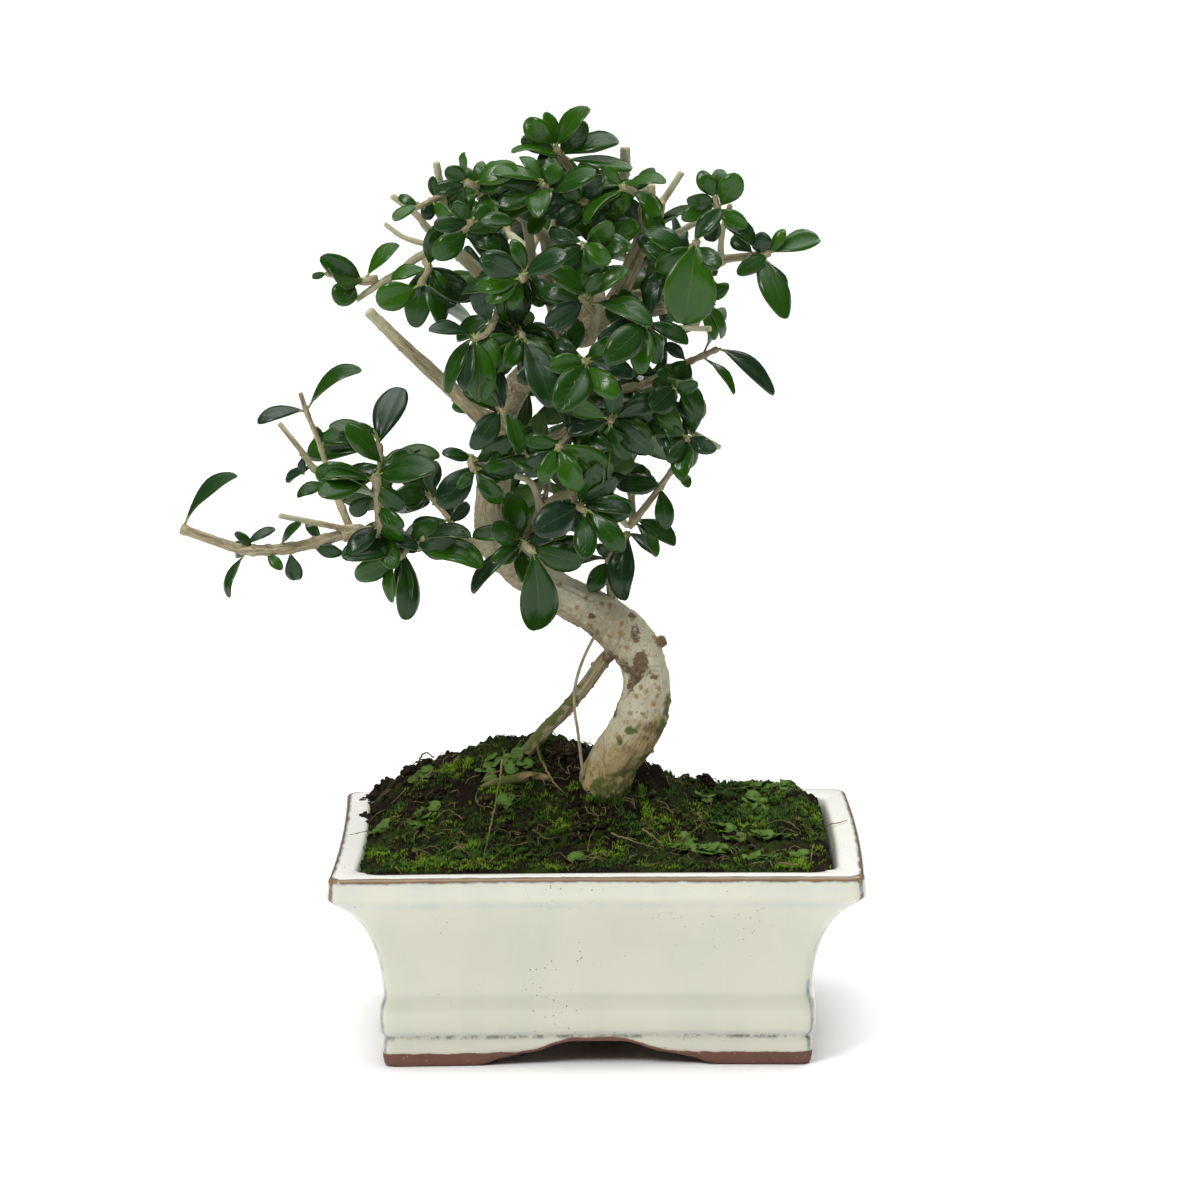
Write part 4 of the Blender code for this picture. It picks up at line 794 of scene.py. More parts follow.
def mossFinish():
    f = Finish("vividMoss", Roughness=0.7, Specular_IOR_Level=0.2)
    tone = f.mix(f.noise(900, 3, 0.6), (0.007, 0.026, 0.001, 1), (0.045, 0.12, 0.004, 1))
    tone = f.mix(f.span(f.noise(70, 3), 0.50, 0.62, 0, 0.9), tone, (0.15, 0.26, 0.008, 1))
    tone = f.mix(f.span(f.noise(110, 2), 0.54, 0.66, 0, 0.8), tone, (0.05, 0.045, 0.007, 1))
    return f.wire(Base_Color=tone, Normal=f.bump(f.noise(3000, 2), 0.5, 0.0002))


def liverwortFinish():
    f = Finish("liverwortSkin", Roughness=0.55, Specular_IOR_Level=0.15)
    tone = f.mix(f.noise(260, 4, 0.6), (0.035, 0.085, 0.009, 1), (0.11, 0.19, 0.028, 1))
    tone = f.mix(f.span(f.cells(1400), 0.16, 0.3, 0.3, 0), tone, (0.17, 0.25, 0.065, 1))
    tone = f.mix(f.span(f.noise(120, 2), 0.56, 0.72, 0, 0.7), tone, (0.04, 0.06, 0.015, 1))
    return f.wire(Base_Color=tone, Normal=f.bump(f.cells(1200), 0.5, 0.0003))


def rootFinish():
    f = Finish("dryRootSkin", Roughness=0.8, Specular_IOR_Level=0.2)
    tone = f.mix(f.noise(500, 4, 0.6), (0.07, 0.045, 0.018, 1), (0.34, 0.25, 0.125, 1))
    tone = f.mix(f.span(f.noise(90, 3), 0.42, 0.56, 0, 0.9), tone, (0.06, 0.075, 0.012, 1))
    return f.wire(Base_Color=tone, Normal=f.bump(f.noise(1800, 3, 0.7), 0.5, 0.0003))


soilPiece = placePiece("soilBed", buildSoil(), [soilFinish()], ["soil"])
placePiece("soilCrumbs", buildCrumbs(), [crumbFinish()])
placePiece("mossShoots", buildMoss(), [mossFinish()])
placePiece("liverwortLobes", buildLiverwort(), [liverwortFinish()])
placePiece("dryRoots", buildDryRoots(), [rootFinish()])
print("soil", len(soilPiece.data.polygons), "faces")


# Trunk and limbs

trunkShape = {
    "step": 1.5,
    "voxel": 0.62,
    "smoothing": (0.5, 0.5, 0.3),
    "lowestCut": 150,
    "highestMark": 180,
    "foldReach": 9,  # the fold, above its line, and the lip under it
    "foldDepth": 3.0,
    "lipReach": 2.5,
    "lipRise": 0.8,
    "paleUpTo": (176, 30),  # heights, each with its blur
    "mossUpTo": (90, 5),
    "tanUpTo": (103, 8),
    "greenUpTo": (92, 14),
    "propTop": 136,
    "freshReach": (13, 12),  # distance from a limb's end, and the limb's radius there, with their blurs
    "freshRadius": (2.2, 0.6),
    "marks": ("pale", "cutWood", "scarAndShade", "pore", "mossy", "tan", "grimeAndShade", "fresh"),
    "fuseAbove": 1.25,  # thinner limbs stay round tubes of their own
    "fold": [(7.2, 113.5), (8.6, 115.6), (11, 118.1), (14.2, 122.7), (17.4, 125.6), (21.5, 127)],
    "scars": [  # x, height, radius across, radius up, darkness
        (16.0, 130.2, 3.2, 4.4, 1.0), (13.2, 126.0, 3.0, 3.6, 0.9), (14.3, 140.4, 2.2, 3.6, 0.6),
        (5.2, 131.9, 3.4, 2.4, 0.7), (20.7, 125.3, 1.8, 1.2, 0.75), (-1, 147, 1.5, 1.3, 0.8),
        (19.8, 107, 2.8, 2.6, 0.8), (24.6, 138.2, 3.4, 3.6, 0.95), (9.5, 128.5, 2.2, 3.4, 0.6),
        (11.5, 122.5, 2.4, 3.4, 0.8), (-2.0, 141.5, 1.8, 2.6, 0.5),
        (-28, 171, 3.5, 2.0, 0.4), (13.0, 147.2, 1.6, 1.2, 0.7), (-16, 243, 3, 3, 0.4), (-34, 212, 3, 4, 0.4),
    ],
    "moss": [  # x, height, radius across, radius up
        (26, 114, 2.4, 6), (23.5, 105, 3, 7), (7.2, 114, 1.6, 3.5), (12, 91, 5, 3), (18, 95, 4, 4),
        (4, 89, 4, 2.5), (12.5, 106.5, 3.4, 2.0), (8.5, 103, 1.5, 3),
    ],
    "pores": [
        (-3, 153.2), (2.8, 151.2), (5.3, 150.5), (9.5, 144), (13.3, 145.9), (20.7, 139.3), (5.3, 139.8),
        (16.1, 121.7), (18, 120.3), (14.5, 118.4), (22.2, 121.3), (21.6, 118.7), (20.3, 115.7), (24.1, 115.7),
        (12.2, 112.5), (11, 135.8), (7.8, 131.9), (-12, 158), (-6, 150), (17, 112), (21, 110), (9, 141),
        (1, 156), (15, 108), (8, 104), (13, 100), (5, 98), (10, 94),
    ],
}
# Trunk from the root to its first fork: x, height, depth, radius
trunkPoints = [
    (1, 74, 2, 9), (2, 84, 2, 9.8), (4.5, 91, 1, 9.2), (7.5, 97.5, 0, 8.7), (13, 105, -2, 9),
    (16.5, 113, -3, 9.3), (18, 121, -3, 8.3), (17, 129, -2, 8), (14, 136, -1, 8.6), (8, 142.5, 0, 8.4),
    (0, 148.5, 1, 7.6), (-10, 154, 2, 7), (-20, 160, 2, 6.6), (-28, 166, 1, 6.4), (-33.5, 173, 0, 6.2),
    (-35.5, 181, -1, 6), (-34.5, 192, -1, 5.9), (-33, 205, 1, 5.6), (-32, 215, 3, 5.2),
    (-27, 226, 5, 4.8), (-18, 236, 5, 4.4), (-8, 243, 5, 3.8),
]

# Limbs, stubs and roots: first radius, last radius, then points as x, height, depth
limbPoints = [
    (3.6, 2.7, (-10, 241.5, 5), (2, 250, 4), (9, 259, 1), (14, 270, -2), (18, 281, -4), (19, 290, -4),
     (19.3, 297, -4)),
    (2.6, 2.5, (16.5, 276, -3), (21.5, 284, -7), (23, 291, -8)),
    (1.4, 1.3, (18.6, 284, -4), (25, 292, -6), (31, 301, -7)),
    (1.4, 1.3, (15, 272, -2), (26, 278, -6), (36, 284, -8)),
    (2.8, 1.9, (-8, 243, 5), (-1, 256, 10), (2, 268, 12), (3, 280, 10), (5, 288, 8), (9.5, 296, 6),
     (11.5, 302, 6), (11.5, 309.5, 6)),
    (2.7, 1.6, (-10, 241.5, 5), (-13, 254, 8), (-15, 266, 8), (-16, 278, 5), (-21, 283.5, 2),
     (-27, 287.5, -2), (-39, 293, -6)),
    (1.7, 1.3, (-15.5, 273, 6.5), (-12, 286, 6), (-9, 296, 5), (-7, 303, 4)),
    (1.8, 1.8, (-26, 249, -1), (-22, 262, -2), (-21, 274, -1), (-22.5, 285, 1)),
    (1.7, 1.5, (-28, 288, -2), (-34, 295, -4), (-38, 305, -5)),
    (3.4, 2, (-19, 235, 5), (-25, 246, 0), (-30, 256, -4), (-37, 265, -7), (-44, 272, -8),
     (-50, 277, -8)),
    (1.6, 1.4, (-47, 274.5, -8), (-49.5, 285, -9), (-53, 305, -11)),
    (1.6, 1.2, (-48, 275.5, -8), (-56, 282, -10), (-60, 287, -11), (-68.5, 293.5, -13)),
    (1.3, 1, (-47, 274.5, -8), (-58, 277, -6), (-65, 279.5, -5), (-71, 284, -4)),
    (1.8, 1.2, (-48, 275.5, -8), (-59, 272.5, -6), (-66, 267, -4), (-73, 263, -3), (-81, 257.5, -3)),
    (3.6, 2.0, (-32, 211, 2), (-40, 218.5, -2), (-48, 226, -4), (-62, 239, -7), (-77, 254, -10)),
    (1.8, 1.7, (-8, 242.5, 4), (-1, 243, -10), (1, 250, -18), (2.5, 257, -23)),
    (2.5, 2.1, (2.3, 256, -22.5), (2.6, 260, -24)),
    (3, 2.3, (-8, 243, 5), (4, 248, -6), (14, 252, -11), (25.5, 254.5, -14)),
    (2.4, 1.6, (7, 257, 2), (18, 259, 2), (27, 262, 0), (38, 267, -3), (46, 271, -5)),
    (1.3, 1.1, (44, 270, -4.5), (44.5, 280, -7), (47.5, 290, -9)),
    (1.3, 1.1, (7, 249, -8), (20, 247.5, -16), (41, 247, -20)),
    (3.4, 2, (-33, 204, 1), (-22, 206, 0), (-12, 209, -4), (-6, 214, -8), (0, 221, -9), (9, 225, -9)),
    (1.6, 1.1, (3, 222.5, -9), (14, 221, -11), (24, 217, -12), (35, 210.5, -13), (44, 205.5, -14)),
    (1.8, 1.7, (-30, 168, -2), (-24, 175, -9), (-18, 184, -13), (-12, 189, -15), (-5, 189.5, -16),
     (8.5, 185, -17)),
    (1.5, 1.3, (0, 188, -16), (8, 182.5, -13), (12, 178, -11)),
    (1.5, 1.2, (-18.5, 183, -12.5), (-19.5, 190, -17), (-23, 195, -19), (-33, 198.5, -21),
     (-47, 205, -23)),
    (1.4, 1.4, (-27.5, 196, -19.6), (-27.5, 203.5, -21)),
    (3.3, 2.8, (-31, 170, 0), (-40, 171.5, -1), (-48, 173, -1), (-55, 173.5, -1), (-66, 172.5, -2),
     (-75, 175.5, -2), (-82, 177, -2)),
    (3.4, 3, (-80.5, 176.7, -2), (-87, 176.5, -2.5)),
    (1.3, 1.15, (-83, 177.5, -3), (-97, 180.5, -8), (-109, 183, -11)),
    (3.0, 2.3, (17, 135, -3), (24.6, 138.4, -5)),
    (2.6, 2.4, (9, 137, 3), (3, 131, 5), (-2, 124, 7), (-6, 119, 8), (-11, 113, 9), (-19, 105, 11),
     (-30, 91, 14)),
    (0.6, 0.55, (3, 145.5, -5), (-2, 136, -8), (-5, 129, -8), (-7, 121, -8), (-7, 113, -7),
     (-6, 106, -6), (-4, 88, -4)),
    (2.2, 1.5, (-16, 264, 8), (-20, 272, 24), (-28, 280, 38)),
    (2.4, 1.5, (1, 249, 4), (6, 256, 18), (12, 261, 31), (18, 264, 42)),
    (2.4, 1.5, (-29, 222, 3), (-32, 230, 16), (-36, 237, 28), (-40, 243, 38)),
    (2.2, 1.4, (-10, 241.5, 5), (-3, 235, 20), (6, 231, 36)),
    (2.2, 1.4, (-34, 195, 0), (-27, 199, 16), (-17, 202, 29), (-6, 201, 39)),
    (1.8, 1.4, (-24, 229.5, 4), (-20, 230, -12), (-15, 233, -24)),
    (1.8, 1.4, (-2, 255, 9), (4, 266, 24), (4, 278, 34)),
]


def evenRadii(first, last, count):  # radii that run evenly from the first to the last
    return [first + (last - first) * i / (count - 1) for i in range(count)]


limbPaths = [([seen(*point[:3]) for point in trunkPoints], [point[3] for point in trunkPoints])]
for firstRadius, lastRadius, *points in limbPoints:
    radii = evenRadii(firstRadius, lastRadius, len(points))
    limbPaths.append(([seen(*point) for point in points], radii))


def foldGap(x, height):  # signed distance from the fold, above it positive, and how far along it lies
    best = (99, 0)
    line = trunkShape["fold"]
    for i, ((ax, az), (bx, bz)) in enumerate(zip(line, line[1:])):
        stepX, stepZ = bx - ax, bz - az
        share = ((x - ax) * stepX + (height - az) * stepZ) / (stepX**2 + stepZ**2)
        share = min(max(share, 0), 1)
        gapX, gapZ = x - ax - stepX * share, height - az - stepZ * share
        gap = math.hypot(gapX, gapZ)
        if gap < abs(best[0]):
            best = (math.copysign(gap, stepX * gapZ - stepZ * gapX), (i + share) / (len(line) - 1))
    return best


def pathSamples(paths):  # centre, radius, direction and distance from the start, all along some limbs
    samples = []
    for path, sizes in paths:
        along = 0
        for i, (point, size) in enumerate(zip(path, sizes)):
            along += (point - path[max(i - 1, 0)]).length
            ahead = (path[min(i + 1, len(path) - 1)] - path[max(i - 1, 0)]).normalized()
            samples.append((point, size, ahead, along))
    tree = KDTree(len(samples))
    for i, sample in enumerate(samples):
        tree.insert(sample[0], i)
    tree.balance()
    return samples, tree


def barkMarks(place, away):  # how far the bark is pushed out at a place, its scar mark, which also carries painted shade in the fold, and its pore
    shape = trunkShape
    x, height = seenBack(place)
    facing = min(max(0.35 - away.y * 2, 0), 1)
    push = scarAndShade = pore = 0
    if not facing or height > shape["highestMark"]:
        return push, scarAndShade, pore
    gap, share = foldGap(x, height)
    window = math.sin(math.pi * min(max(share * 0.9 + 0.05, 0), 1)) ** 0.6
    if 0 < gap < shape["foldReach"]:
        push -= shape["foldDepth"] * window * (1 - gap / shape["foldReach"]) * facing
        # painted shade: the crease just above the fold is darkened through the scar mark
        scarAndShade = max(scarAndShade, 0.75 * window * softSpot(gap + 1.2 * noise.noise(place * 0.9), 1.6, 1.5) * facing)
    elif -shape["lipReach"] < gap <= 0:
        push += shape["lipRise"] * window * (1 + gap / shape["lipReach"]) * facing
    # scars, pushed in and darkened; those just above the fold are partly painted shade of its hollow
    for scarX, scarZ, wide, tall, dark in trunkShape["scars"]:
        gap = math.hypot((x - scarX) / wide, (height - scarZ) / tall)
        if gap < 1.7:
            ragged = gap + 0.4 * noise.noise(place * 1.1)
            spot = softSpot(ragged, 0.92, 0.4) * facing
            push += spot * (0.7 * noise.noise(place * 1.7) - 0.45)
            scarAndShade = max(scarAndShade, spot * dark)
    for poreX, poreZ in trunkShape["pores"]:
        gap = math.hypot(x - poreX, (height - poreZ) * 0.85)
        if gap < 2:
            pore = max(pore, softSpot(gap + 0.5 * noise.noise(place * 1.6), 0.75, 0.45) * facing)
    return push + 0.22 * pore, scarAndShade, pore


def sawnShare(place, ends):  # 1 on the flat of a sawn end and 0 away from it
    cut = 0
    for end, direction, radius in ends:
        gap = place - end
        reach = gap.dot(direction)
        if gap.length < radius * 1.6 + 0.6 and reach > -0.55:
            offAxis = (gap - direction * reach).length
            cut = max(cut, softSpot(offAxis, radius * 0.93, 0.5) * softSpot(-reach, 0.55, 0.4))
    return cut


def mossShare(place, away, pale):  # how green the bark is at a place
    x, height = seenBack(place)
    moss = 0.75 * softSpot(height + 3 * noise.noise(place * 0.3), *trunkShape["mossUpTo"])
    for mossX, mossZ, wide, tall in trunkShape["moss"]:
        gap = math.hypot((x - mossX) / wide, (height - mossZ) / tall)
        moss = max(moss, 0.8 * softSpot(gap, 0.9, 0.8))
    if height < trunkShape["propTop"] and pale < 0.5:  # the prop root, green above and towards the soil
        upper = softSpot(-away.z + 0.6 * noise.noise(place * 0.25), 0.1, 0.6)
        moss = max(moss, upper * (1 - 0.7 * softSpot(-height, -124, 10)))
    return moss


def freshShare(place, ends):  # how near a place is to the end of a thin limb, whose bark is younger
    return max(softSpot((place - end).length, *trunkShape["freshReach"])
               * softSpot(radius, *trunkShape["freshRadius"]) for end, direction, radius in ends)


def buildTrunk():
    laid = []
    for points, radii in limbPaths:
        path, sizes = smoothPath(points, radii, trunkShape["step"])
        sizes = [size * (1 + 0.05 * noise.noise(point * 0.22)) for point, size in zip(path, sizes)]
        laid.append((path, sizes))
    fused = [max(radii) > trunkShape["fuseAbove"] for points, radii in limbPaths]
    thick = [tubeMesh(*limb, 20 if limb[1][0] > 4 else 12) for limb, fuse in zip(laid, fused) if fuse]
    thin = [tubeMesh(*limb, 12) for limb, fuse in zip(laid, fused) if not fuse]
    mesh = gather(thick, "trunkBark")
    mesh = withModifier(mesh, "REMESH", {"mode": "VOXEL", "voxel_size": trunkShape["voxel"]})
    samples, tree = pathSamples(laid)
    trunkSamples, trunkTree = pathSamples(laid[:1])
    sawn = [limb for limb in limbPaths[1:] if seenBack(limb[0][-1])[1] > trunkShape["lowestCut"]]
    ends = [(points[-1], (points[-1] - points[-2]).normalized(), radii[-1]) for points, radii in sawn]

    bm = bmesh.new()
    bm.from_mesh(mesh)
    for factor in trunkShape["smoothing"]:
        bmesh.ops.smooth_vert(bm, verts=bm.verts, factor=factor, use_axis_x=True, use_axis_y=True,
                              use_axis_z=True)
    bm.normal_update()
    layers = {name: bm.verts.layers.float.new(name) for name in trunkShape["marks"]}
    grain = bm.verts.layers.float_vector.new("grain")
    for vert in bm.verts:
        place, away = vert.co.copy(), vert.normal.copy()
        _, index, _ = tree.find(place)
        centre, size, ahead, along = samples[index]
        vert[grain] = grainPlace(place, centre, ahead, along)
        streak = noise.noise(vert[grain] * 900) + 0.6 * noise.noise(vert[grain] * 2300)
        lump = noise.noise(place * 0.2) + 0.5 * noise.noise(place * 0.5)
        wart = max(0, noise.noise(place * 0.75 + Vector((4, 0, 0))) - 0.38)
        push = min(size, 6) * (0.04 * streak + 0.05 * lump) + 1.8 * wart * min(size / 4, 1)
        marked, scarAndShade, pore = barkMarks(place, away)
        x, height = seenBack(place)
        _, index, fromTrunk = trunkTree.find(place)
        trunkSize = trunkSamples[index][1]
        ragged = 0.12 * noise.noise(place * 0.3)
        pale = softSpot(fromTrunk / trunkSize + ragged, 1.28, 0.35)
        pale *= softSpot(height + 60 * ragged, *trunkShape["paleUpTo"])
        cut = sawnShare(place, ends)
        moss = mossShare(place, away, pale)
        tanTop, tanBlur = trunkShape["tanUpTo"]
        tan = softSpot(height + 6 * noise.noise(place * 0.2), tanTop + 0.4 * (x - 8), tanBlur)
        tan *= min(pale + 0.4, 1)
        # brown grime and painted shade: bark facing downwards is painted brown, and so is a patch around x 3,
        # height 140, both only above height 100
        grimeAndShade = softSpot(away.z + 0.5 * noise.noise(place * 0.3), -0.3, 0.7)
        grimeAndShade = max(grimeAndShade, 0.7 * softSpot(math.hypot(x - 3, height - 140), 9, 8)) * softSpot(-height, -100, 8)
        marks = (pale, cut, scarAndShade, pore, moss, tan, grimeAndShade, freshShare(place, ends))
        for layer, value in zip(layers.values(), marks):
            vert[layer] = value
        vert.co = place + away * (push + marked) * (1 - cut)
    bmesh.ops.recalc_face_normals(bm, faces=bm.faces)
    body = keepMesh(bm, "trunkBark")
    for tube in thin:
        heights = [seenBack(vert.co)[1] for vert in tube.vertices]
        paintPoints(tube, "mossy", [softSpot(height, *trunkShape["greenUpTo"]) for height in heights])
    return gather([body] + thin, "trunkBark")


def barkFinish(name):
    f = Finish(name, Roughness=0.75, Specular_IOR_Level=0.25)
    grain = f.noise(620, 6, 0.7)
    cloud = f.noise(120, 4, 0.6)
    along = f.read("grain", "Vector")
    streaks = f.noise(1500, 5, 0.65, place=along)
    cracks = f.noise(700, 4, 0.7, place=along)
    pale = f.mix(cloud, (0.44, 0.41, 0.27, 1), (0.64, 0.615, 0.455, 1))
    pale = f.mix(f.span(streaks, 0.48, 0.68, 0, 0.6), pale, (0.30, 0.25, 0.15, 1))
    pale = f.mix(f.span(grain, 0.54, 0.68, 0, 0.65), pale, (0.33, 0.25, 0.14, 1))
    pale = f.mix(f.span(grain, 0.28, 0.42, 0.45, 0), pale, (0.74, 0.72, 0.56, 1))
    # brown grime and painted shade on the undersides of the bark
    grimeAndShade = f.times(f.read("grimeAndShade"), f.span(grain, 0.35, 0.6, 0.35, 0.9))
    pale = f.mix(grimeAndShade, pale, (0.24, 0.16, 0.08, 1))
    young = f.mix(f.span(streaks, 0.3, 0.7), (0.17, 0.128, 0.066, 1), (0.60, 0.52, 0.33, 1))
    young = f.mix(f.span(cracks, 0.52, 0.64, 0, 0.75), young, (0.065, 0.042, 0.022, 1))
    young = f.mix(f.span(cloud, 0.5, 0.66, 0, 0.5), young, (0.22, 0.235, 0.11, 1))
    fresh = f.mix(streaks, (0.30, 0.32, 0.17, 1), (0.56, 0.55, 0.37, 1))
    young = f.mix(f.times(f.read("fresh"), 0.8), young, fresh)
    body = f.mix(f.read("pale"), young, pale)
    # scattered pores, then the ones that show most
    dots = f.times(f.span(f.cells(330), 0.12, 0.22, 1, 0), f.span(f.noise(90, 2), 0.50, 0.60))
    body = f.mix(f.times(dots, 0.7), body, (0.21, 0.13, 0.06, 1))
    body = f.mix(f.times(f.read("pore"), 0.9), body, (0.29, 0.175, 0.06, 1))
    # brown weathered scars, and painted shade in the crease and hollow above the fold
    scarAndShade = f.ragged(f.read("scarAndShade"), grain, 2.4)
    scarAndShadeTone = f.mix(f.noise(800, 4, 0.7), (0.035, 0.020, 0.010, 1), (0.30, 0.20, 0.11, 1))
    body = f.mix(f.span(scarAndShade, 0.30, 0.66, 0, 0.95), body, scarAndShadeTone)
    # tan and green where the bark meets the damp soil
    tan = f.mix(f.noise(260, 5, 0.65), (0.24, 0.16, 0.055, 1), (0.54, 0.42, 0.19, 1))
    tan = f.mix(f.span(cracks, 0.52, 0.62, 0, 0.75), tan, (0.09, 0.055, 0.022, 1))
    body = f.mix(f.times(f.read("tan"), 0.9), body, tan)
    moss = f.ragged(f.read("mossy"), f.noise(170, 4, 0.65), 2.2)
    mossTone = f.mix(grain, (0.030, 0.045, 0.006, 1), (0.11, 0.15, 0.02, 1))
    body = f.mix(f.span(moss, 0.45, 0.75, 0, 0.88), body, mossTone)
    # the sawn ends
    cut = f.read("cutWood")
    wood = f.mix(f.noise(900, 4, 0.6), (0.42, 0.32, 0.18, 1), (0.74, 0.66, 0.48, 1))
    body = f.mix(f.span(cut, 0.3, 0.7), body, wood)
    relief = f.plus(grain, f.times(streaks, 0.8))
    rough = f.span(grain, 0.3, 0.7, 0.62, 0.9)
    return f.wire(Base_Color=body, Roughness=rough, Normal=f.bump(relief, 0.9, 0.0009))


trunkPiece = placePiece("trunkBark", buildTrunk(), [barkFinish("paleBark")], ["trunk"])
print("trunk", len(trunkPiece.data.polygons), "faces")


# Leafy sprays

sprayRule = {
    "seed": 40,
    "reach": 1.6,  # how much farther a spray stands from its limb than its points say
    "sunk": 0.9,
    "widthRatio": 0.46,
    "arch": 0.09,
    "thick": 0.5,
    "depthTries": (0, 3, -3, 6, -6, 9, -9, 12, -12),
    "angleTries": (0, 20, -20, 40, -40, 60, -60),
    "leafGrid": (4, 11),
    "largeLeafGrid": (6, 16),
    "largeLeaf": 21,  # a longer leaf takes the large grid
    "bluntTip": 0.42,
    "look": {  # limits of what differs from leaf to leaf
        "belly": (1.1, 1.5), "blunt": (0.72, 0.95), "twist": (-0.5, 0.5), "fold": (0.05, 0.5),
        "curl": (0.02, 0.3), "wave": (0.0, 0.4), "hook": (-0.3, 1.1), "phase": (0, 6),
    },
    "looksSeed": 900,
    "turnedDepth": 12,  # behind this some leaves show their underside
    "turnedShare": 0.15,
    "edgeOn": 0.6,  # a leaf that shows less of its full width is narrowed by edgeOnWidth
    "edgeOnWidth": 0.82,
    "wideLeaf": 10.5,
    "stations": ((0.26, 0.84), (0.72, 0.9)),  # where a blade is compared, along it and of its width
    "wideStations": ((0.2, 0.72), (0.5, 1.0), (0.82, 0.76)),
    "deepRadii": (1.2, 0.9),
    "fillCount": 22,
    "fillLength": (12, 18),
    "fillWidth": (0.42, 0.56),
    "noLeaf": 2.5,  # mean distance from the CAD spray past which it holds no such leaf
}
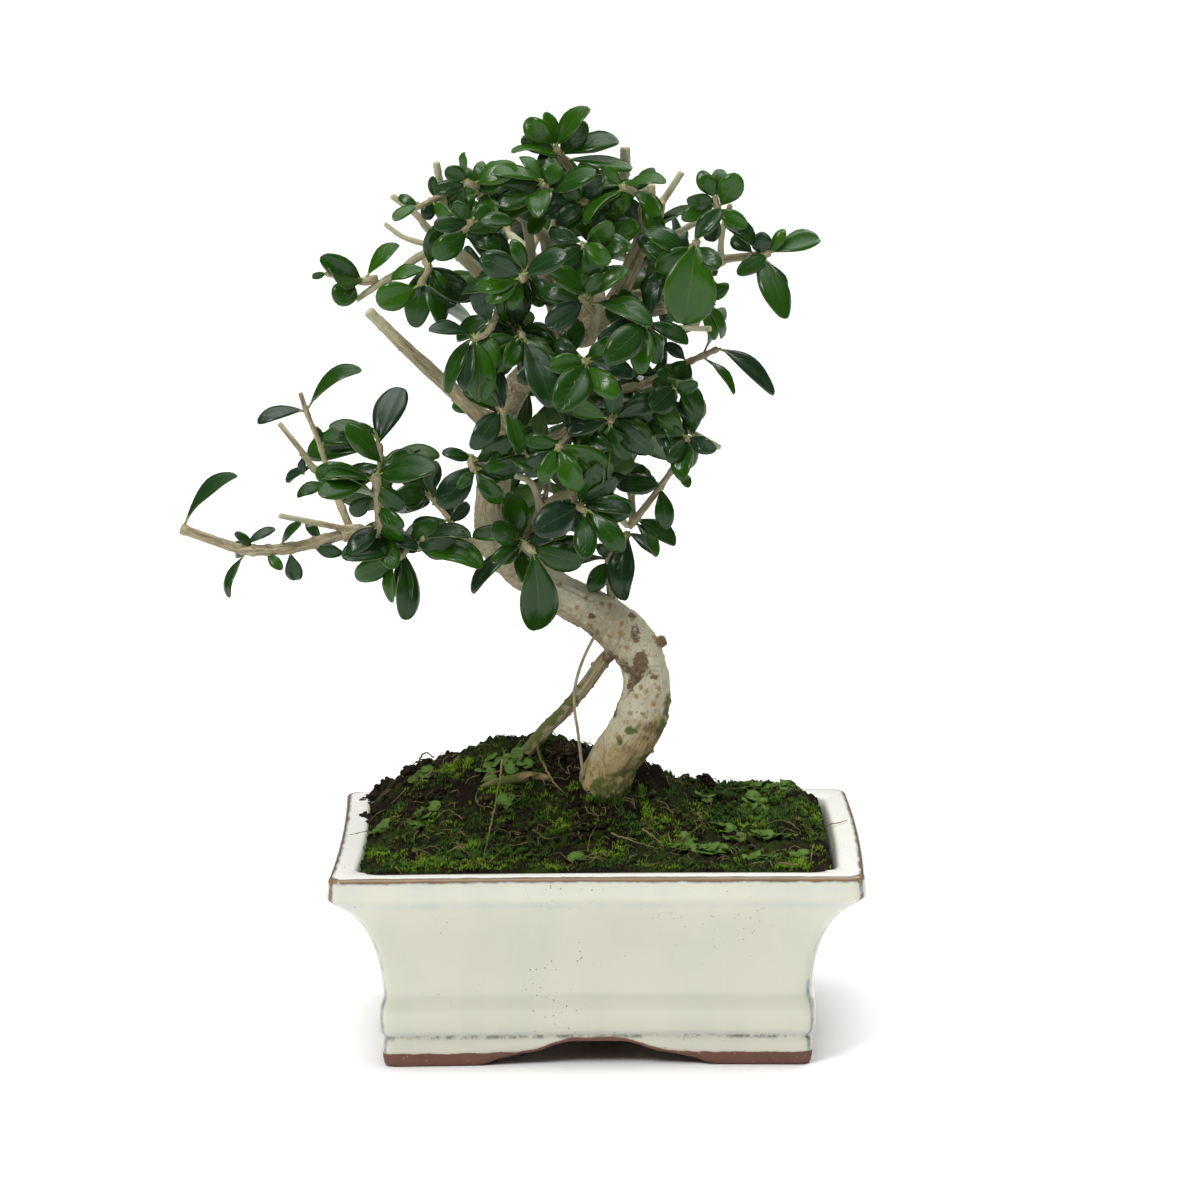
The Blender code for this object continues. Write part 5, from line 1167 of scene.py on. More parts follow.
# Leafy sprays: name, twigs as radii and points, leaves as base, tip and width seen from the front
sprayPlans = [
    ("far_left", [
        (2, 1.7, (-86, 176.4, -2.5), (-100, 172.5, -5), (-110, 171, -7), (-120, 171, -8),
         (-127.5, 173, -8), (-142.5, 178.5, -10)),
    ], [
        (-141, 181, -122.5, 196.5, 4.5), (-120, 173, -110, 178.5, 3), (-108, 173, -101, 180, 3),
        (-113, 170, -108, 164, 4), (-105, 170, -103, 160, 6), (-97, 172, -87, 169.5, 5),
        (-121, 169, -127.5, 155, 3), (-118, 172, -124, 177, 3), (-94, 174, -99, 181, 4),
    ]),
    ("left_rise", [
        (1.4, 0.9, (-84, 178, 1), (-90, 192, 4), (-97, 200, 5), (-101, 206, 6), (-108, 215, 8)),
        (1, 0.8, (-90, 192, 4), (-94, 207, 3), (-98.5, 219, 1), (-100.5, 225.5, 0)),
    ], [
        (-99.5, 219.5, -115.5, 216, 3.8), (-97.5, 221, -81, 234.5, 4), (-97, 200, -106, 195, 3),
        (-92, 194, -102.5, 190, 4), (-100, 204, -100, 197, 3), (-93, 208, -96, 214, 3),
    ]),
    ("left_rosette", [
        (1.7, 1.3, (-73, 172, -5), (-74, 180, -16), (-75, 197, -20)),
    ], [
        (-76, 196, -96, 198, 9.5), (-74, 197, -54.5, 199, 8), (-73, 201, -86, 214, 7),
        (-76, 195, -95, 190, 7), (-75, 193, -66, 185, 7), (-76, 190, -84, 183, 6),
        (-74, 199, -64, 205, 5), (-75, 185, -66, 179, 6),
    ]),
    ("left_top", [
        (1.5, 1.2, (-69, 174, 1), (-72, 190, 8), (-74, 208, 10)),
    ], [
        (-74, 207.5, -66, 227, 10), (-75, 213, -83.5, 212, 6), (-76, 206, -99, 206, 8.5),
        (-76, 209, -94, 210, 6), (-75, 211, -91, 214, 4), (-72, 203, -53, 204, 4.5),
        (-73, 200, -88, 193, 7), (-71, 190, -58, 190, 8),
    ]),
    ("left_low", [
        (1.3, 1.1, (-62, 173, -2), (-64, 172, -10), (-67, 168, -14)),
        (1, 1, (-64, 172, -10), (-58, 175, -15)),
    ], [
        (-66, 170, -65, 146, 7), (-69, 167, -70, 152, 4), (-68, 168, -83, 161, 8),
        (-66, 171, -87, 168, 7), (-61, 174, -48, 172, 11), (-64, 173, -54, 180, 7),
        (-60, 171, -39, 166, 7), (-58, 175, -43, 176, 3.5),
    ]),
    ("left_inner", [
        (1.1, 0.9, (-47, 173, 0), (-48, 178, 6), (-52, 184, 9), (-57, 190, 11)),
    ], [
        (-50, 180, -43, 187, 5), (-55, 187, -44, 184, 6), (-57, 190, -67, 187, 8),
        (-57, 190, -55, 202, 7), (-50, 181, -63, 176, 7),
    ]),
    ("trunk_front", [
        (1.4, 1.1, (-26.5, 171.5, -7), (-24, 172, -15), (-21, 170, -20)),
    ], [
        (-21, 170, -19.5, 142, 13), (-22, 171, -4, 166, 10), (-24, 173, -43, 156, 4.5),
        (-24, 174, -42, 176, 4.5), (-23, 173, -10, 176, 5),
    ]),
    ("trunk_top", [
        (1.8, 1.2, (7, 149, 0), (5.5, 160, 1), (6, 170, 2), (12, 176, 1)),
    ], [
        (5, 166, -1.5, 156, 7), (12, 175, 9.5, 152.5, 9), (5, 167, -9, 165, 2), (6, 168, 1, 172, 4),
        (10, 174, 2, 180, 7), (12, 176, 22, 168, 4),
    ]),
    ("low_right", [
        (1.3, 1, (12, 178, -11), (20, 188, -11), (27.5, 198.5, -11)),
        (1.3, 1.2, (13.5, 180, -11), (13, 191, -8)),
    ], [
        (23, 192, 25, 177, 6.5), (23, 193, 9, 192.5, 7), (15, 181, 28.5, 172, 6),
        (14, 180, 22, 168, 3.5), (28, 199, 27, 211, 6.5), (28.5, 199, 33, 192, 3),
        (29, 200, 33.5, 210, 4.5), (13, 190, 7, 197, 5), (13, 191, 17, 200, 5),
    ]),
    ("low_centre", [
        (1.2, 1, (-7, 190, -16), (-6, 186, -23), (-3, 184, -27)),
    ], [
        (-5, 186, -20, 177, 12), (-1, 184, 10, 170, 8), (-3, 183, -3, 167, 8), (-5, 188, 3, 190, 4),
        (-4, 187, 13, 184, 6),
    ]),
    ("centre_left", [
        (1.2, 1, (-31, 199, -21), (-28, 206, -25), (-31, 218, -27), (-36, 224, -27)),
    ], [
        (-30, 219, -25, 204, 6.5), (-32, 219, -41.5, 206, 8.5), (-31, 219, -38, 237, 6),
        (-28, 205, -37, 198, 6), (-29, 208, -21, 213, 5), (-34, 223, -42, 229, 5),
    ]),
    ("low_left_in", [
        (1.2, 1, (-42, 203, -22), (-42, 200, -26), (-41, 198, -28)),
    ], [
        (-41, 200, -53, 186, 10), (-41, 198, -33, 189, 6), (-41, 198, -47, 192, 4),
        (-42, 202, -52, 205, 4),
    ]),
    ("middle_low", [
        (1.3, 1, (-6, 213, -9), (-8, 210, -19), (-12, 206, -27)),
    ], [
        (-12, 207, 6, 197, 10.5), (-8, 209, 6, 206, 7), (-12, 205, -24, 197, 8), (-12, 206, -5, 191, 8),
        (-12, 207, -24, 209, 6), (-13, 206, -18, 194, 6),
    ]),
    ("middle_right", [
        (1.3, 1, (7, 223.5, -10), (7, 218, -18), (6, 215, -23)),
    ], [
        (6, 216, 20, 208.5, 9), (6, 216, -9, 211, 5.5), (7, 217, 22, 218, 7), (6, 214, 12, 202, 7),
        (6, 214, 4, 191, 8.5), (7, 220, -3, 214, 4.5),
    ]),
    ("right_low", [
        (1.2, 1, (25, 216.5, -13), (27, 221, -18), (28, 227, -20)),
    ], [
        (28, 227, 38.5, 216, 6), (28, 227, 20, 219, 9.5), (27, 222, 33, 216, 3), (26, 218, 24, 206, 7),
        (28, 228, 22, 235, 5), (28, 226, 36, 228, 5),
    ]),
    ("right_cut", [
        (1, 0.9, (36, 210, -13.5), (34, 208, -19), (32, 209, -22)),
    ], [
        (33, 209, 42, 205, 6), (32, 210, 33.5, 198, 4.5), (32, 209, 26, 201, 6), (32, 210, 24, 213, 5),
    ]),
    ("right_mid", [
        (1.5, 1, (9, 226, -9), (18, 228, -7), (24, 231, -6), (33, 235.5, -6), (43, 240, -7)),
    ], [
        (44, 240, 62, 224, 5.2), (38, 237, 48.5, 224, 2.2), (33, 236, 27, 228, 8.5),
        (25, 232, 17, 246, 5), (18, 228, 9, 226, 9), (22, 231, 14, 235, 5), (32, 236, 25, 242, 4),
        (20, 229, 30, 226, 7), (14, 227, 20, 216, 8),
    ]),
    ("crown_front", [
        (1.3, 1, (-15, 233, -24), (-9, 236, -30), (-2, 236, -33)),
    ], [
        (-2, 235, -12, 219, 11.5), (-1, 236, 14, 231, 6), (-2, 234, 8, 224, 8), (-3, 237, -15, 234, 7),
        (-4, 238, -13, 243, 5), (-1, 237, 5, 244, 5), (-12, 235, -14, 222, 9), (-12, 236, -22, 228, 8),
    ]),
    ("hang_left", [
        (1.3, 1, (-31, 257, -6), (-33, 252, -16), (-36, 246, -22), (-41, 244, -24)),
    ], [
        (-40, 244, -38, 222, 11), (-36, 247, -36, 232, 8), (-42, 244, -50, 225, 5.5),
        (-33, 252, -47, 244, 6), (-41, 245, -56, 247, 3.5), (-33, 251, -31, 235, 7),
        (-41, 243, -44, 226, 6),
    ]),
    ("hang_mid", [
        (1.2, 1, (-27, 250, -2), (-25, 246, -14), (-24, 245, -20)),
    ], [
        (-24, 244, -14, 221, 10.5), (-24, 246, -32, 232, 6.5), (-24, 245, -22, 230, 7),
        (-25, 247, -13, 243, 6), (-25, 248, -35, 250, 5),
    ]),
    ("left_tip", [
        (1.4, 1, (-73.5, 265, -3), (-79, 264, -4), (-85, 265.5, -5), (-91, 267, -6)),
    ], [
        (-79, 265, -93, 272.5, 8), (-77, 266, -66, 276.5, 5), (-82, 265, -87, 256, 9),
        (-91, 267, -96, 265.5, 2.5), (-90, 267, -87, 271, 3),
    ]),
    ("left_hang", [
        (1.3, 1, (-57, 271, -7), (-56, 268, -13), (-59, 263, -17)),
    ], [
        (-57, 269, -61, 248, 9.5), (-60, 262, -74, 257, 10), (-56, 268, -69, 265, 4.5),
        (-56, 267, -52, 249, 7), (-57, 268, -51, 261, 6),
    ]),
    ("left_crown", [
        (1.3, 1, (-46.5, 276.5, -8), (-44, 281, -17), (-41, 285, -22)),
    ], [
        (-44, 279, -28, 276, 7), (-42, 284, -54, 283, 6), (-41, 285, -35, 289, 5.5),
        (-41, 285, -47, 291, 5), (-43, 281, -54, 272, 8.5), (-43, 281, -31, 285, 6),
    ]),
    ("left_spikes", [
        (1.1, 0.9, (-51, 293, -10), (-56, 291, -16), (-60, 289, -19)),
    ], [
        (-55, 292, -56.5, 285, 5), (-59, 290, -68, 285, 3.5), (-59, 290, -66, 293, 3.5),
        (-54, 293, -54, 300, 3.5),
    ]),
    ("top_left", [
        (1.2, 1, (-33.5, 293.5, -4), (-39, 296, -12), (-43, 298, -16)),
    ], [
        (-42, 299, -50, 302, 6), (-42, 297, -54, 295, 5.5), (-43, 299, -43, 308, 3),
        (-40, 296, -37, 305, 4), (-39, 295, -30, 297, 5), (-43, 297, -47, 288, 6),
    ]),
    ("rosette_left", [
        (1.2, 1, (-21.7, 268, -2), (-24, 264, -16), (-24, 265.5, -26)),
    ], [
        (-24, 266, -38, 272, 9.5), (-23, 266, -8.5, 273, 7), (-25, 264, -45, 260, 5),
        (-24, 264, -28, 254, 5), (-22, 262, -9, 257.5, 5), (-23, 267, -27, 278, 5),
        (-24, 264, -36, 257, 6), (-22, 264, -17, 255, 6),
    ]),
    ("knob_leaves", [
        (1.1, 0.9, (1, 252, -19), (-2, 256, -24), (-4, 258, -27)),
    ], [
        (-3, 259, -15, 267.5, 6), (-3, 257, -16, 248, 8.5), (0, 256, 20, 249.5, 5), (-3, 259, 3, 266, 5),
    ]),
    ("cut_leaves", [
        (1, 0.9, (20, 249, -16), (18, 251, -24), (18, 249, -29)),
    ], [
        (18, 249, 5, 236, 10.5), (19, 249, 33, 242, 5.5), (18, 248, 23.5, 234, 5), (18, 251, 11, 258, 5),
    ]),
    ("big_leaf", [
        (1.4, 1.2, (27, 263, -1), (31, 270, -12), (36, 277, -20)),
    ], [
        (36, 277, 31, 248.5, 17.5), (34, 275, 22, 267, 8), (35, 277, 44, 288, 6), (32, 272, 22, 276, 6),
        (35, 275, 44, 268, 7),
    ]),
    ("right_hang", [
        (1.1, 0.9, (35, 247.6, -19.5), (37, 252, -16), (39, 257, -14)),
    ], [
        (39, 256, 45.5, 244, 3.8), (37, 253, 42, 243, 4), (39, 257, 47, 262, 5), (37, 252, 31, 246, 4),
    ]),
    ("right_tip", [
        (1.5, 1.1, (45.5, 271, -5), (55, 272, -7), (61, 273, -8)),
    ], [
        (61, 273, 78, 277.5, 7), (57, 272, 66, 250, 9), (58, 272, 58, 280, 7), (60, 272, 50, 266, 6),
        (55, 273, 48, 279, 6), (57, 274, 46, 283, 5), (61, 273, 66, 281, 4),
    ]),
    ("right_top", [
        (1.2, 1, (45.5, 285, -8.5), (43, 288, -14), (42, 292, -16)),
    ], [
        (44, 289, 50, 300, 8.5), (42, 292, 37, 301, 6), (42, 291, 33, 291, 5.5), (43, 292, 44, 302, 6),
        (43, 288, 53, 282, 6), (43, 287, 40, 277, 6), (42, 290, 31, 285, 6),
    ]),
    ("top_right", [
        (1.2, 1, (19, 292.5, -4), (15, 294, -10), (10, 296, -12)),
    ], [
        (11, 296, 25, 298, 3), (13, 295, 8, 287, 6), (10, 296, 0, 297, 4), (14, 294, 24, 288, 5),
        (10, 296, 5, 303, 4), (15, 294, 21, 302, 4),
    ]),
    ("top_rosette", [
        (1.4, 1, (-7.4, 302, 4), (-10, 306, 2), (-12, 309.5, 1)),
    ], [
        (-12, 310, -0.5, 322.5, 6.8), (-13, 310, -22, 319, 9), (-12, 310, -16, 321.5, 5),
        (-12, 308, -24, 312.5, 6), (-10, 307, 9, 312.5, 6.5), (-10, 307, -2, 318, 8),
        (-9, 305, 14, 302, 3.5), (-10, 306, -27, 309, 2.5),
    ]),
    ("top_middle", [
        (1.2, 1, (-11.5, 288, 6), (-14, 293, -3), (-17, 297, -9)),
    ], [
        (-15, 296, -12, 304, 8), (-17, 297, -35, 293.5, 8.5), (-13, 292, -5, 288, 5),
        (-14, 294, 1, 301, 6), (-17, 298, -33, 302, 3.5), (-14, 293, -25, 286, 7),
        (-17, 298, -24, 307, 4),
    ]),
    ("top_inner", [
        (1.2, 1, (4, 286, 8.5), (0, 289, 0), (-3, 291, -6)),
    ], [
        (-3, 292, 4, 299.5, 7), (-2, 291, 3, 283, 7), (-3, 290, -12, 283, 6), (0, 289, 12, 284, 5),
        (-3, 291, -10, 297, 6), (-2, 290, 10, 292, 6),
    ]),
    ("inner_front", [
        (1.3, 1, (2.5, 273, 11.5), (0, 275, -2), (-3, 276, -14)),
    ], [
        (-3, 276, 3, 265, 8), (-3, 277, -15, 281, 6), (-2, 275, 7, 284, 7), (-3, 275, -13, 268, 7),
        (-1, 275, 14, 275, 6), (-3, 277, 6, 270, 7),
    ]),
]

# Twigs deeper in the crown, which leaf out in pairs: leaf length, pairs past the first, points
deepTwigs = [
    (19, 3, (-28, 279.5, 38), (-30, 284, 46), (-33, 288, 51)),
    (19, 2, (-21, 272.5, 26), (-18, 281, 36), (-14, 289, 42)),
    (19, 2, (18, 264, 42), (24, 268, 48), (30, 271, 50)),
    (18, 2, (11, 261, 29), (16, 271, 36), (18, 281, 38)),
    (20, 3, (-40, 243, 38), (-38, 250, 44), (-36, 258, 47)),
    (20, 2, (-36, 237, 28), (-32, 228, 36), (-30, 219, 42)),
    (17, 2, (6, 231, 36), (11, 231, 43), (16, 230, 47)),
    (20, 2, (0, 233, 27), (-2, 224, 37), (-4, 215, 44)),
    (19, 2, (-6, 201, 39), (-2, 199, 46), (3, 198, 50)),
    (18, 2, (-22, 200.5, 22), (-24, 204, 33), (-27, 209, 41)),
    (18, 2, (4, 278, 34), (1, 286, 40), (-1, 294, 42)),
    (18, 2, (5, 262, 18), (-3, 265, 32), (-9, 263, 44)),
    (18, 2, (-24, 268, 30), (-32, 267, 38), (-38, 266, 42)),
    (18, 2, (-17, 202, 29), (-16, 194, 38), (-17, 187, 44)),
    (17, 2, (7, 230.5, 34), (9, 222, 34), (12, 214, 36)),
    (17, 2, (27, 262, 0), (28, 262, 12), (28, 262, 20)),
    (18, 2, (-64, 172.5, -2), (-67, 178, 12), (-71, 185, 22)),
]


def makeLeafTemplate(across, along):  # a slab pointed at both ends: x across, y along, z 0 below and 1 above
    bm = bmesh.new()
    bmesh.ops.create_grid(bm, x_segments=across, y_segments=along, size=1)
    made = bmesh.ops.extrude_face_region(bm, geom=bm.faces[:])
    bmesh.ops.translate(bm, vec=(0, 0, 1), verts=newItems(made, bmesh.types.BMVert))
    under = bm.verts.layers.float.new("leafSide")
    for vert in bm.verts:
        vert[under] = 1 - vert.co.z
    pattern = bm.loops.layers.uv.new("leafUV")
    for face in bm.faces:
        for loop in face.loops:
            loop[pattern].uv = (loop.vert.co.x / 2 + 0.5, loop.vert.co.y / 2 + 0.5)
    for end in (-1, 1):
        for level in (0, 1):
            tipVerts = [v for v in bm.verts if v.co.y * end > 0.999 and abs(v.co.z - level) < 0.1]
            bmesh.ops.pointmerge(bm, verts=tipVerts, merge_co=(0, end, level))
    bmesh.ops.recalc_face_normals(bm, faces=bm.faces)
    return keepMesh(bm, "leaf")


leafTemplate = makeLeafTemplate(*sprayRule["leafGrid"])
largeLeafTemplate = makeLeafTemplate(*sprayRule["largeLeafGrid"])


def shapeLeaf(base, tip, normal, width, style):  # the template bent into one leaf
    axis = tip - base
    across = axis.cross(normal).normalized()
    length = axis.length
    leaf = (largeLeafTemplate if length > sprayRule["largeLeaf"] else leafTemplate).copy()
    for vert in leaf.vertices:
        along, side, level = vert.co.y / 2 + 0.5, vert.co.x, vert.co.z
        along = (1 - math.cos(math.pi * along)) / 2
        blunt = style["blunt"] - (style["blunt"] - sprayRule["bluntTip"]) * along
        outline = max(math.sin(math.pi * along ** style["belly"]), 0) ** blunt
        half = width / 2 * outline
        twist = style["twist"] * (along - 0.4)
        sideways = across * math.cos(twist) + normal * math.sin(twist)
        upward = normal * math.cos(twist) - across * math.sin(twist)
        lift = sprayRule["arch"] * length * 4 * along * (1 - along)
        lift += style["fold"] * abs(side) * half - style["curl"] * side**4 * half
        lift += style["wave"] * math.sin(9 * along + 2 * side + style["phase"]) * abs(side)
        lift -= style["hook"] * length * max(along - 0.7, 0) ** 2
        thick = sprayRule["thick"] * (1 - 0.55 * side**2) * (1 - 0.5 * abs(2 * along - 1) ** 4)
        rise = lift + (level - 0.5) * thick
        if abs(side) < 0.01:
            rise -= 0.08 if level > 0.5 else 0.28 * (1 - along)
        vert.co = base + axis * along + sideways * half * side + upward * rise
    paintPoints(leaf, "leafTone", [style["tone"]] * len(leaf.vertices))
    if style["turned"]:
        sides = leaf.attributes["leafSide"].data
        for item in sides:
            item.value = 1 - item.value
    leaf.shade_smooth()
    return leaf


def leafStyle(rng, height, depth):  # the highest leaves are the brightest
    bright = min(max((height - 250) / 70, 0), 1) * 0.25
    style = {key: rng.uniform(*limits) for key, limits in sprayRule["look"].items()}
    style["tone"] = min(rng.random() + bright, 1)
    style["turned"] = depth > sprayRule["turnedDepth"] and rng.random() < sprayRule["turnedShare"]
    return style


def nearestOnTwigs(place, twigs):  # the place on the twigs that is nearest in x and height
    best = None
    for points, radii in twigs:
        for start, end in zip(points, points[1:]):
            step, reach = end - start, place - start
            share = (reach.x * step.x + reach.z * step.z) / max(step.x**2 + step.z**2, 1e-6)
            inset = sprayRule["sunk"] / step.length
            found = start + step * min(max(share, inset), 1 - inset)
            gap = found - place
            distance = math.hypot(gap.x, gap.z)
            if best is None or distance < best[0]:
                best = (distance, found)
    return best[1]


def facingNormal(axis, width, fullWidth):  # of a blade that shows this width from the front
    ahead = axis.normalized()
    normal = Vector((0, -1, 0)) + ahead * ahead.y
    if normal.length < 0.05:
        normal = Vector((0, 0, 1)) - ahead * ahead.z
    normal.normalize()
    roll = math.acos(min(width / fullWidth, 1))
    turned = [Matrix.Rotation(sign * roll, 3, ahead) @ normal for sign in (1, -1)]
    return max(turned, key=lambda n: n.z)


def misfit(base, tip, normal, width, surface):  # how far a blade's corners lie from the CAD spray
    axis = tip - base
    across = axis.cross(normal).normalized()
    total = 0
    stations = sprayRule["wideStations" if width >= sprayRule["wideLeaf"] else "stations"]
    for along, share in stations:
        middle = base + axis * along + normal * sprayRule["arch"] * axis.length * 4 * along * (1 - along)
        for side in (-1, 1):
            corner = middle + across * side * width * share / 2
            total += surface.find_nearest((corner + potMiddle) * mm)[3] / mm
    return total / len(stations) / 2


def seenBlades(leaf, twigs, rng):  # the places that a leaf read from the front may take in depth
    baseX, baseZ, tipX, tipZ, width = leaf
    anchor = nearestOnTwigs(seen(baseX, baseZ, twigs[0][0][-1].y), twigs)
    base = seen(baseX, baseZ, anchor.y)
    lean = rng.uniform(-0.75, 0.35) * math.hypot(tipX - baseX, tipZ - baseZ) * (1 if anchor.y < 5 else -1)
    for shift in sprayRule["depthTries"]:
        tip = seen(tipX, tipZ, anchor.y + lean + shift)
        full = max(width, sprayRule["widthRatio"] * (tip - base).length)
        if width < sprayRule["edgeOn"] * full:
            full *= sprayRule["edgeOnWidth"]
        yield anchor, base, tip, facingNormal(tip - base, width, full), full


def pairedBlades(anchor, ahead, outward, length, rng):  # the turns that a leaf of a pair may take
    opening = math.radians(rng.uniform(42, 62))
    start = ahead * math.cos(opening) + outward * math.sin(opening) + Vector((0, 0, rng.uniform(-0.35, 0.1)))
    hinge = ahead.cross(outward).normalized()
    for turn in sprayRule["angleTries"]:
        axis = (Matrix.Rotation(math.radians(turn), 3, hinge) @ start).normalized()
        upright = (ahead - axis * ahead.dot(axis)).normalized()
        base = anchor + axis * 1.5
        yield anchor, base, base + axis * length, upright, sprayRule["widthRatio"] * length


def deepLeaves(twigs, length, pairs, rng):
    points = twigs[0][0]
    total = sum((b - a).length for a, b in zip(points, points[1:]))
    for pair in range(pairs + 1):
        reach = total * (0.35 + 0.65 * pair / pairs)
        for start, end in zip(points, points[1:]):
            span = (end - start).length
            if reach <= span + 0.01:
                break
            reach -= span
        ahead = (end - start).normalized()
        anchor = start + ahead * min(reach, span - sprayRule["sunk"])
        side = ahead.cross(Vector((0, 0, 1))).normalized()
        outward = Matrix.Rotation(math.radians(90 * pair + rng.uniform(-18, 18)), 3, ahead) @ side
        for sign in (1, -1):
            size = length * rng.uniform(0.8, 1.15)
            yield list(pairedBlades(anchor, ahead, outward * sign, size, rng))


def fillBlades(twigs, rng):  # more leaves of the inner crown, kept where they lie inside the CAD's outline
    for _ in range(sprayRule["fillCount"]):
        points, radii = rng.choice(twigs)
        start, end = rng.choice(list(zip(points, points[1:])))
        anchor = start.lerp(end, rng.uniform(0.15, 0.95))
        ahead = (end - start).normalized()
        around = Matrix.Rotation(rng.uniform(0, 6.28), 3, ahead) @ ahead.orthogonal().normalized()
        axis = (around + ahead * rng.uniform(0.2, 0.9) + Vector((0, rng.uniform(0, 0.7), 0))).normalized()
        length = rng.uniform(*sprayRule["fillLength"])
        base = anchor + axis * 1.4
        tip = base + axis * length
        width = length * rng.uniform(*sprayRule["fillWidth"])
        upright = (ahead - axis * ahead.dot(axis)).normalized()
        side = axis.cross(upright).normalized() * width * 0.42
        middle = base.lerp(tip, 0.5)
        if all(inOutline(place) for place in (tip, middle + side, middle - side, base.lerp(tip, 0.8))):
            yield anchor, base, tip, upright, width


def inOutline(place):  # whether this place is inside the CAD's outline from the front and from the left
    towards = (place - eye).normalized()
    fromLeft = Vector((-900, place.y, place.z))
    return (outlineTree.ray_cast((eye + potMiddle) * mm, towards)[0] is not None
            and outlineTree.ray_cast((fromLeft + potMiddle) * mm, Vector((1, 0, 0)))[0] is not None)


def surfaceOf(*nodes):  # the CAD solids of these nodes, to find the nearest place on them
    points, faces = [], []
    for node in nodes:
        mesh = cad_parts[node].data
        faces += [tuple(len(points) + v for v in face.vertices) for face in mesh.polygons]
        points += [vert.co.copy() for vert in mesh.vertices]
    return BVHTree.FromPolygons(points, faces)


def layTwigs(twigs, surface):  # the twigs, and the same with the first cut to where the CAD twig starts
    laid = []
    for firstRadius, lastRadius, *places in twigs:
        start = twigs[0][2][2]
        points = [seen(x, height, start + (depth - start) * sprayRule["reach"])
                  for x, height, depth in places]
        laid.append((points, evenRadii(firstRadius, lastRadius, len(points))))
    points, radii = laid[0]
    ahead = (points[1] - points[0]).normalized()
    found = surface.find_nearest((points[0] + potMiddle) * mm)[0] / mm - potMiddle
    cut = min(max((found - points[0]).dot(ahead), 0), (points[1] - points[0]).length - 0.7)
    shorter = [points[0] + ahead * cut] + points[1:]
    return laid, [(shorter, radii)] + laid[1:]


def markMaterial(mesh, index):
    for face in mesh.polygons:
        face.material_index = index
    return mesh


def budMesh(place, ahead, size):  # a pointed bud in a leaf's axil
    bm = bmesh.new()
    bmesh.ops.create_icosphere(bm, subdivisions=1, radius=1)
    turn = ahead.to_track_quat("Z", "Y").to_matrix().to_4x4()
    shape = Matrix.Translation(place) @ turn @ Matrix.Diagonal((size * 0.5, size * 0.5, size, 1))
    bmesh.ops.transform(bm, matrix=shape, verts=bm.verts)
    return markMaterial(keepMesh(bm, "bud"), 2)


def chooseBlades(name, leafSets, surface):  # of each leaf's possible places, the one that the CAD spray holds
    chosen = []
    for blades in leafSets:
        scored = [(misfit(*blade[1:], surface), blade) for blade in blades]
        miss, blade = min(scored, key=lambda item: item[0])
        if miss > sprayRule["noLeaf"]:
            print(name, "leaf left out, misfit", round(miss, 2))
        else:
            chosen.append(blade)
    return chosen


def buildSpray(name, blades, laid, rng):
    meshes, anchors = [], []
    for anchor, base, tip, normal, width in blades:
        anchors.append(anchor)
        x, height = seenBack(anchor)
        style = leafStyle(rng, height, anchor.y)
        meshes.append(shapeLeaf(base, tip, normal, width * 1.03, style))
        # the stalk runs from the twig into the midrib
        inward = base + (tip - base) * 0.10 + normal * 0.03 * (tip - base).length
        path, sizes = smoothPath([anchor, base.lerp(anchor, 0.3), inward], [0.62, 0.5, 0.3], 1.0)
        meshes.append(markMaterial(tubeMesh(path, sizes, 6), 2))
        ahead = (base - anchor).normalized() if (base - anchor).length > 0.1 else (tip - base).normalized()
        meshes.append(budMesh(anchor + ahead * 0.9 + normal * 0.5, (ahead + normal).normalized(), 0.95))
    for points, radii in laid:
        path, sizes = smoothPath(points, radii, 1.3)
        for i, point in enumerate(path):
            joint = min((point - anchor).length for anchor in anchors) if anchors else 9
            sizes[i] *= 1 + 0.28 * math.exp(-(joint / 0.9) ** 2) + 0.06 * noise.noise(point * 0.8)
        meshes.append(markMaterial(tubeMesh(path, sizes, 8), 1))
    return gather(meshes, name)


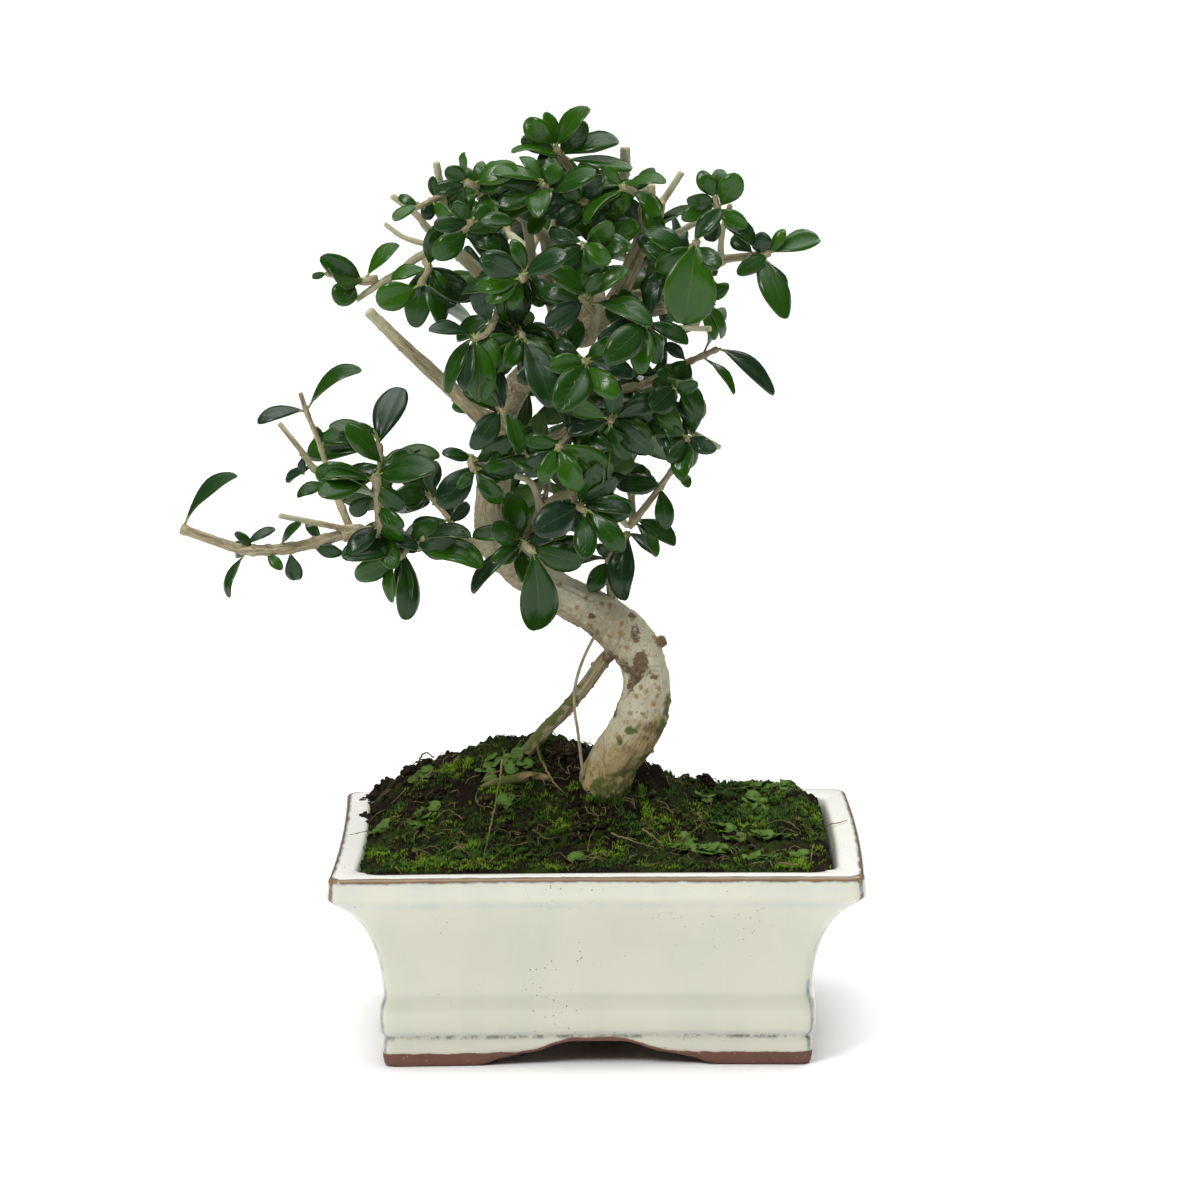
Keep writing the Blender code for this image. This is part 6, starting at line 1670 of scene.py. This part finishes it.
def leafFinish():
    f = Finish("oliveLeaf", Roughness=0.3, Specular_IOR_Level=0.28)
    pattern = f.add("ShaderNodeUVMap", uv_map="leafUV").outputs[0]
    split = f.add("ShaderNodeSeparateXYZ", {"Vector": pattern})
    along = split.outputs["Y"]
    off = f.offBy(split.outputs["X"], 0.5)
    tone = f.read("leafTone")
    cloud = f.noise(180, 4, 0.6)
    dark = f.mix(f.span(tone, 0.0, 0.35), (0.011, 0.026, 0.017, 1), (0.008, 0.035, 0.003, 1))
    dark = f.mix(f.span(tone, 0.3, 0.65), dark, (0.011, 0.050, 0.002, 1))
    dark = f.mix(f.span(tone, 0.65, 1.0), dark, (0.022, 0.084, 0.001, 1))
    upper = f.mix(f.span(cloud, 0.35, 0.7, 0, 0.4), dark, (0.018, 0.05, 0.008, 1))
    # side veins run out from the midrib
    slant = f.plus(along, f.times(off, -0.55))
    comb = f.sums("SINE", f.times(slant, 62.0), 0.0)
    veins = f.times(f.span(comb, 0.75, 1.0), f.span(off, 0.05, 0.42, 1, 0))
    upper = f.mix(f.times(veins, 0.12), upper, (0.03, 0.09, 0.02, 1))
    below = f.mix(cloud, (0.020, 0.055, 0.006, 1), (0.040, 0.088, 0.014, 1))
    below = f.mix(f.times(veins, 0.3), below, (0.10, 0.16, 0.05, 1))
    under = f.read("leafSide")
    body = f.mix(f.span(under, 0.45, 0.55), upper, below)
    rib = f.times(f.span(off, 0.008, 0.028, 1, 0), f.span(along, 0.1, 0.9, 0.42, 0.05))
    body = f.mix(rib, body, (0.09, 0.16, 0.035, 1))
    rim = f.span(off, 0.475, 0.496, 0, 0.5)
    body = f.mix(rim, body, (0.16, 0.19, 0.06, 1))
    ends = f.span(along, 0.0, 0.07, 0.8, 0)
    body = f.mix(ends, body, (0.16, 0.22, 0.04, 1))
    tipBrown = f.span(along, 0.975, 1.0, 0, 0.7)
    body = f.mix(tipBrown, body, (0.12, 0.06, 0.025, 1))
    specks = f.times(f.span(f.cells(700), 0.08, 0.14, 1, 0), f.span(f.noise(120, 2), 0.56, 0.66))
    body = f.mix(f.times(specks, 0.3), body, (0.15, 0.18, 0.13, 1))
    rough = f.plus(f.span(cloud, 0.3, 0.7, 0.13, 0.27), f.times(under, 0.18))
    relief = f.plus(f.times(veins, -0.5), f.times(f.noise(1500, 2), 0.35))
    return f.wire(Base_Color=body, Roughness=rough, Normal=f.bump(relief, 0.35, 0.00025))


def stalkFinish():
    f = Finish("leafStalk", Roughness=0.5)
    tone = f.mix(f.noise(500, 3), (0.13, 0.19, 0.03, 1), (0.30, 0.36, 0.09, 1))
    tone = f.mix(f.span(f.noise(220, 3), 0.56, 0.7, 0, 0.8), tone, (0.14, 0.075, 0.03, 1))
    return f.wire(Base_Color=tone, Normal=f.bump(f.noise(2000, 2), 0.3, 0.0002))


sprayMaterials = [leafFinish(), barkFinish("twigBark"), stalkFinish()]
leafCount = 0
outlineTree = surfaceOf(*[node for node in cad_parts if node.startswith("spray_")], "trunk")
jobs = [(name, twigs, leaves, None) for name, twigs, leaves in sprayPlans]
for number, (length, pairs, *points) in enumerate(deepTwigs):
    twigs = [(*sprayRule["deepRadii"], *points)]
    jobs.append(("deep_%02d" % (number + 1), twigs, None, (length, pairs)))
for number, (name, twigs, leaves, rule) in enumerate(jobs):
    surface = surfaceOf("spray_" + name)
    laid, shortened = layTwigs(twigs, surface)
    rng = random.Random(sprayRule["seed"] + number)
    if rule:
        leafSets = list(deepLeaves(shortened, *rule, rng))
    else:
        leafSets = [list(seenBlades(leaf, shortened, rng)) for leaf in leaves]
    blades = chooseBlades(name, leafSets, surface)
    looks = random.Random(sprayRule["looksSeed"] + number)
    blades += list(fillBlades(shortened, looks))
    mesh = buildSpray(name, blades, laid, looks)
    placePiece("leaves_" + name, mesh, sprayMaterials, ["spray_" + name])
    leafCount += len(blades)
print("sprays", len(jobs), "leaves", leafCount)


# Floor, light and camera

studio = {
    "lens": 148.2,
    "pitch": 10.45,
    "roll": -0.35,
    "horizon": 0.06,
    "zenith": 4.75,
    "focus": 6,  # how closely the sky's light gathers overhead
    "skyTone": (0.97, 0.985, 1.0, 1),
    "floorHalf": 30,
    "floorTones": ((0.94, 0.94, 0.94, 1), (0.96, 0.96, 0.96, 1)),
    "aim": (0, 0, 0.15),  # what the lights point at, in metres
    "clip": (0.1, 60),
    "lights": [  # name, place in metres, size in metres, watts
        ("keyLight", (-1.0, -1.3, 1.6), 0.8, 25), ("rimLight", (0.9, 1.1, 1.6), 0.8, 8),
    ],
}


def buildStudio():
    bm = bmesh.new()
    bmesh.ops.create_grid(bm, x_segments=2, y_segments=2, size=studio["floorHalf"])
    floor = bpy.data.objects.new("floor", keepMesh(bm, "floor"))
    bpy.context.scene.collection.objects.link(floor)
    f = Finish("paleFloor", Roughness=0.7)
    floor.data.materials.append(f.wire(Base_Color=f.mix(f.noise(3, 2), *studio["floorTones"])))

    world = bpy.data.worlds.new("softSky")
    bpy.context.scene.world = world
    world.use_nodes = True
    tree = world.node_tree
    towards = tree.nodes.new("ShaderNodeTexCoord").outputs["Generated"]
    split = tree.nodes.new("ShaderNodeSeparateXYZ")
    tree.links.new(towards, split.inputs[0])
    height = split.outputs["Z"]
    for operation, amount in (("MAXIMUM", 0), ("POWER", studio["focus"])):
        node = tree.nodes.new("ShaderNodeMath")
        node.operation = operation
        tree.links.new(height, node.inputs[0])
        node.inputs[1].default_value = amount
        height = node.outputs[0]
    level = tree.nodes.new("ShaderNodeMapRange")
    tree.links.new(height, level.inputs["Value"])
    level.inputs["To Min"].default_value = studio["horizon"]
    level.inputs["To Max"].default_value = studio["zenith"]
    sky = tree.nodes["Background"]
    sky.inputs["Color"].default_value = studio["skyTone"]
    tree.links.new(level.outputs[0], sky.inputs["Strength"])
    for name, place, size, power in studio["lights"]:
        data = bpy.data.lights.new(name, "AREA")
        data.shape = "DISK"
        data.size = size
        data.energy = power
        light = bpy.data.objects.new(name, data)
        light.location = place
        towards = Vector(studio["aim"]) - Vector(place)
        light.rotation_euler = towards.to_track_quat("-Z", "Y").to_euler()
        bpy.context.scene.collection.objects.link(light)

    data = bpy.data.cameras.new("productCamera")
    data.lens = studio["lens"]
    data.sensor_width = 36
    data.clip_start, data.clip_end = studio["clip"]
    camera = bpy.data.objects.new("productCamera", data)
    pitch = Matrix.Rotation(math.radians(90 - studio["pitch"]), 4, "X")
    roll = Matrix.Rotation(math.radians(studio["roll"]), 4, "Z")
    camera.matrix_world = Matrix.Translation((eye + potMiddle) * mm) @ pitch @ roll
    bpy.context.scene.collection.objects.link(camera)
    bpy.context.scene.camera = camera
    bpy.context.scene.view_settings.view_transform = "Standard"


buildStudio()
print("studio ready")
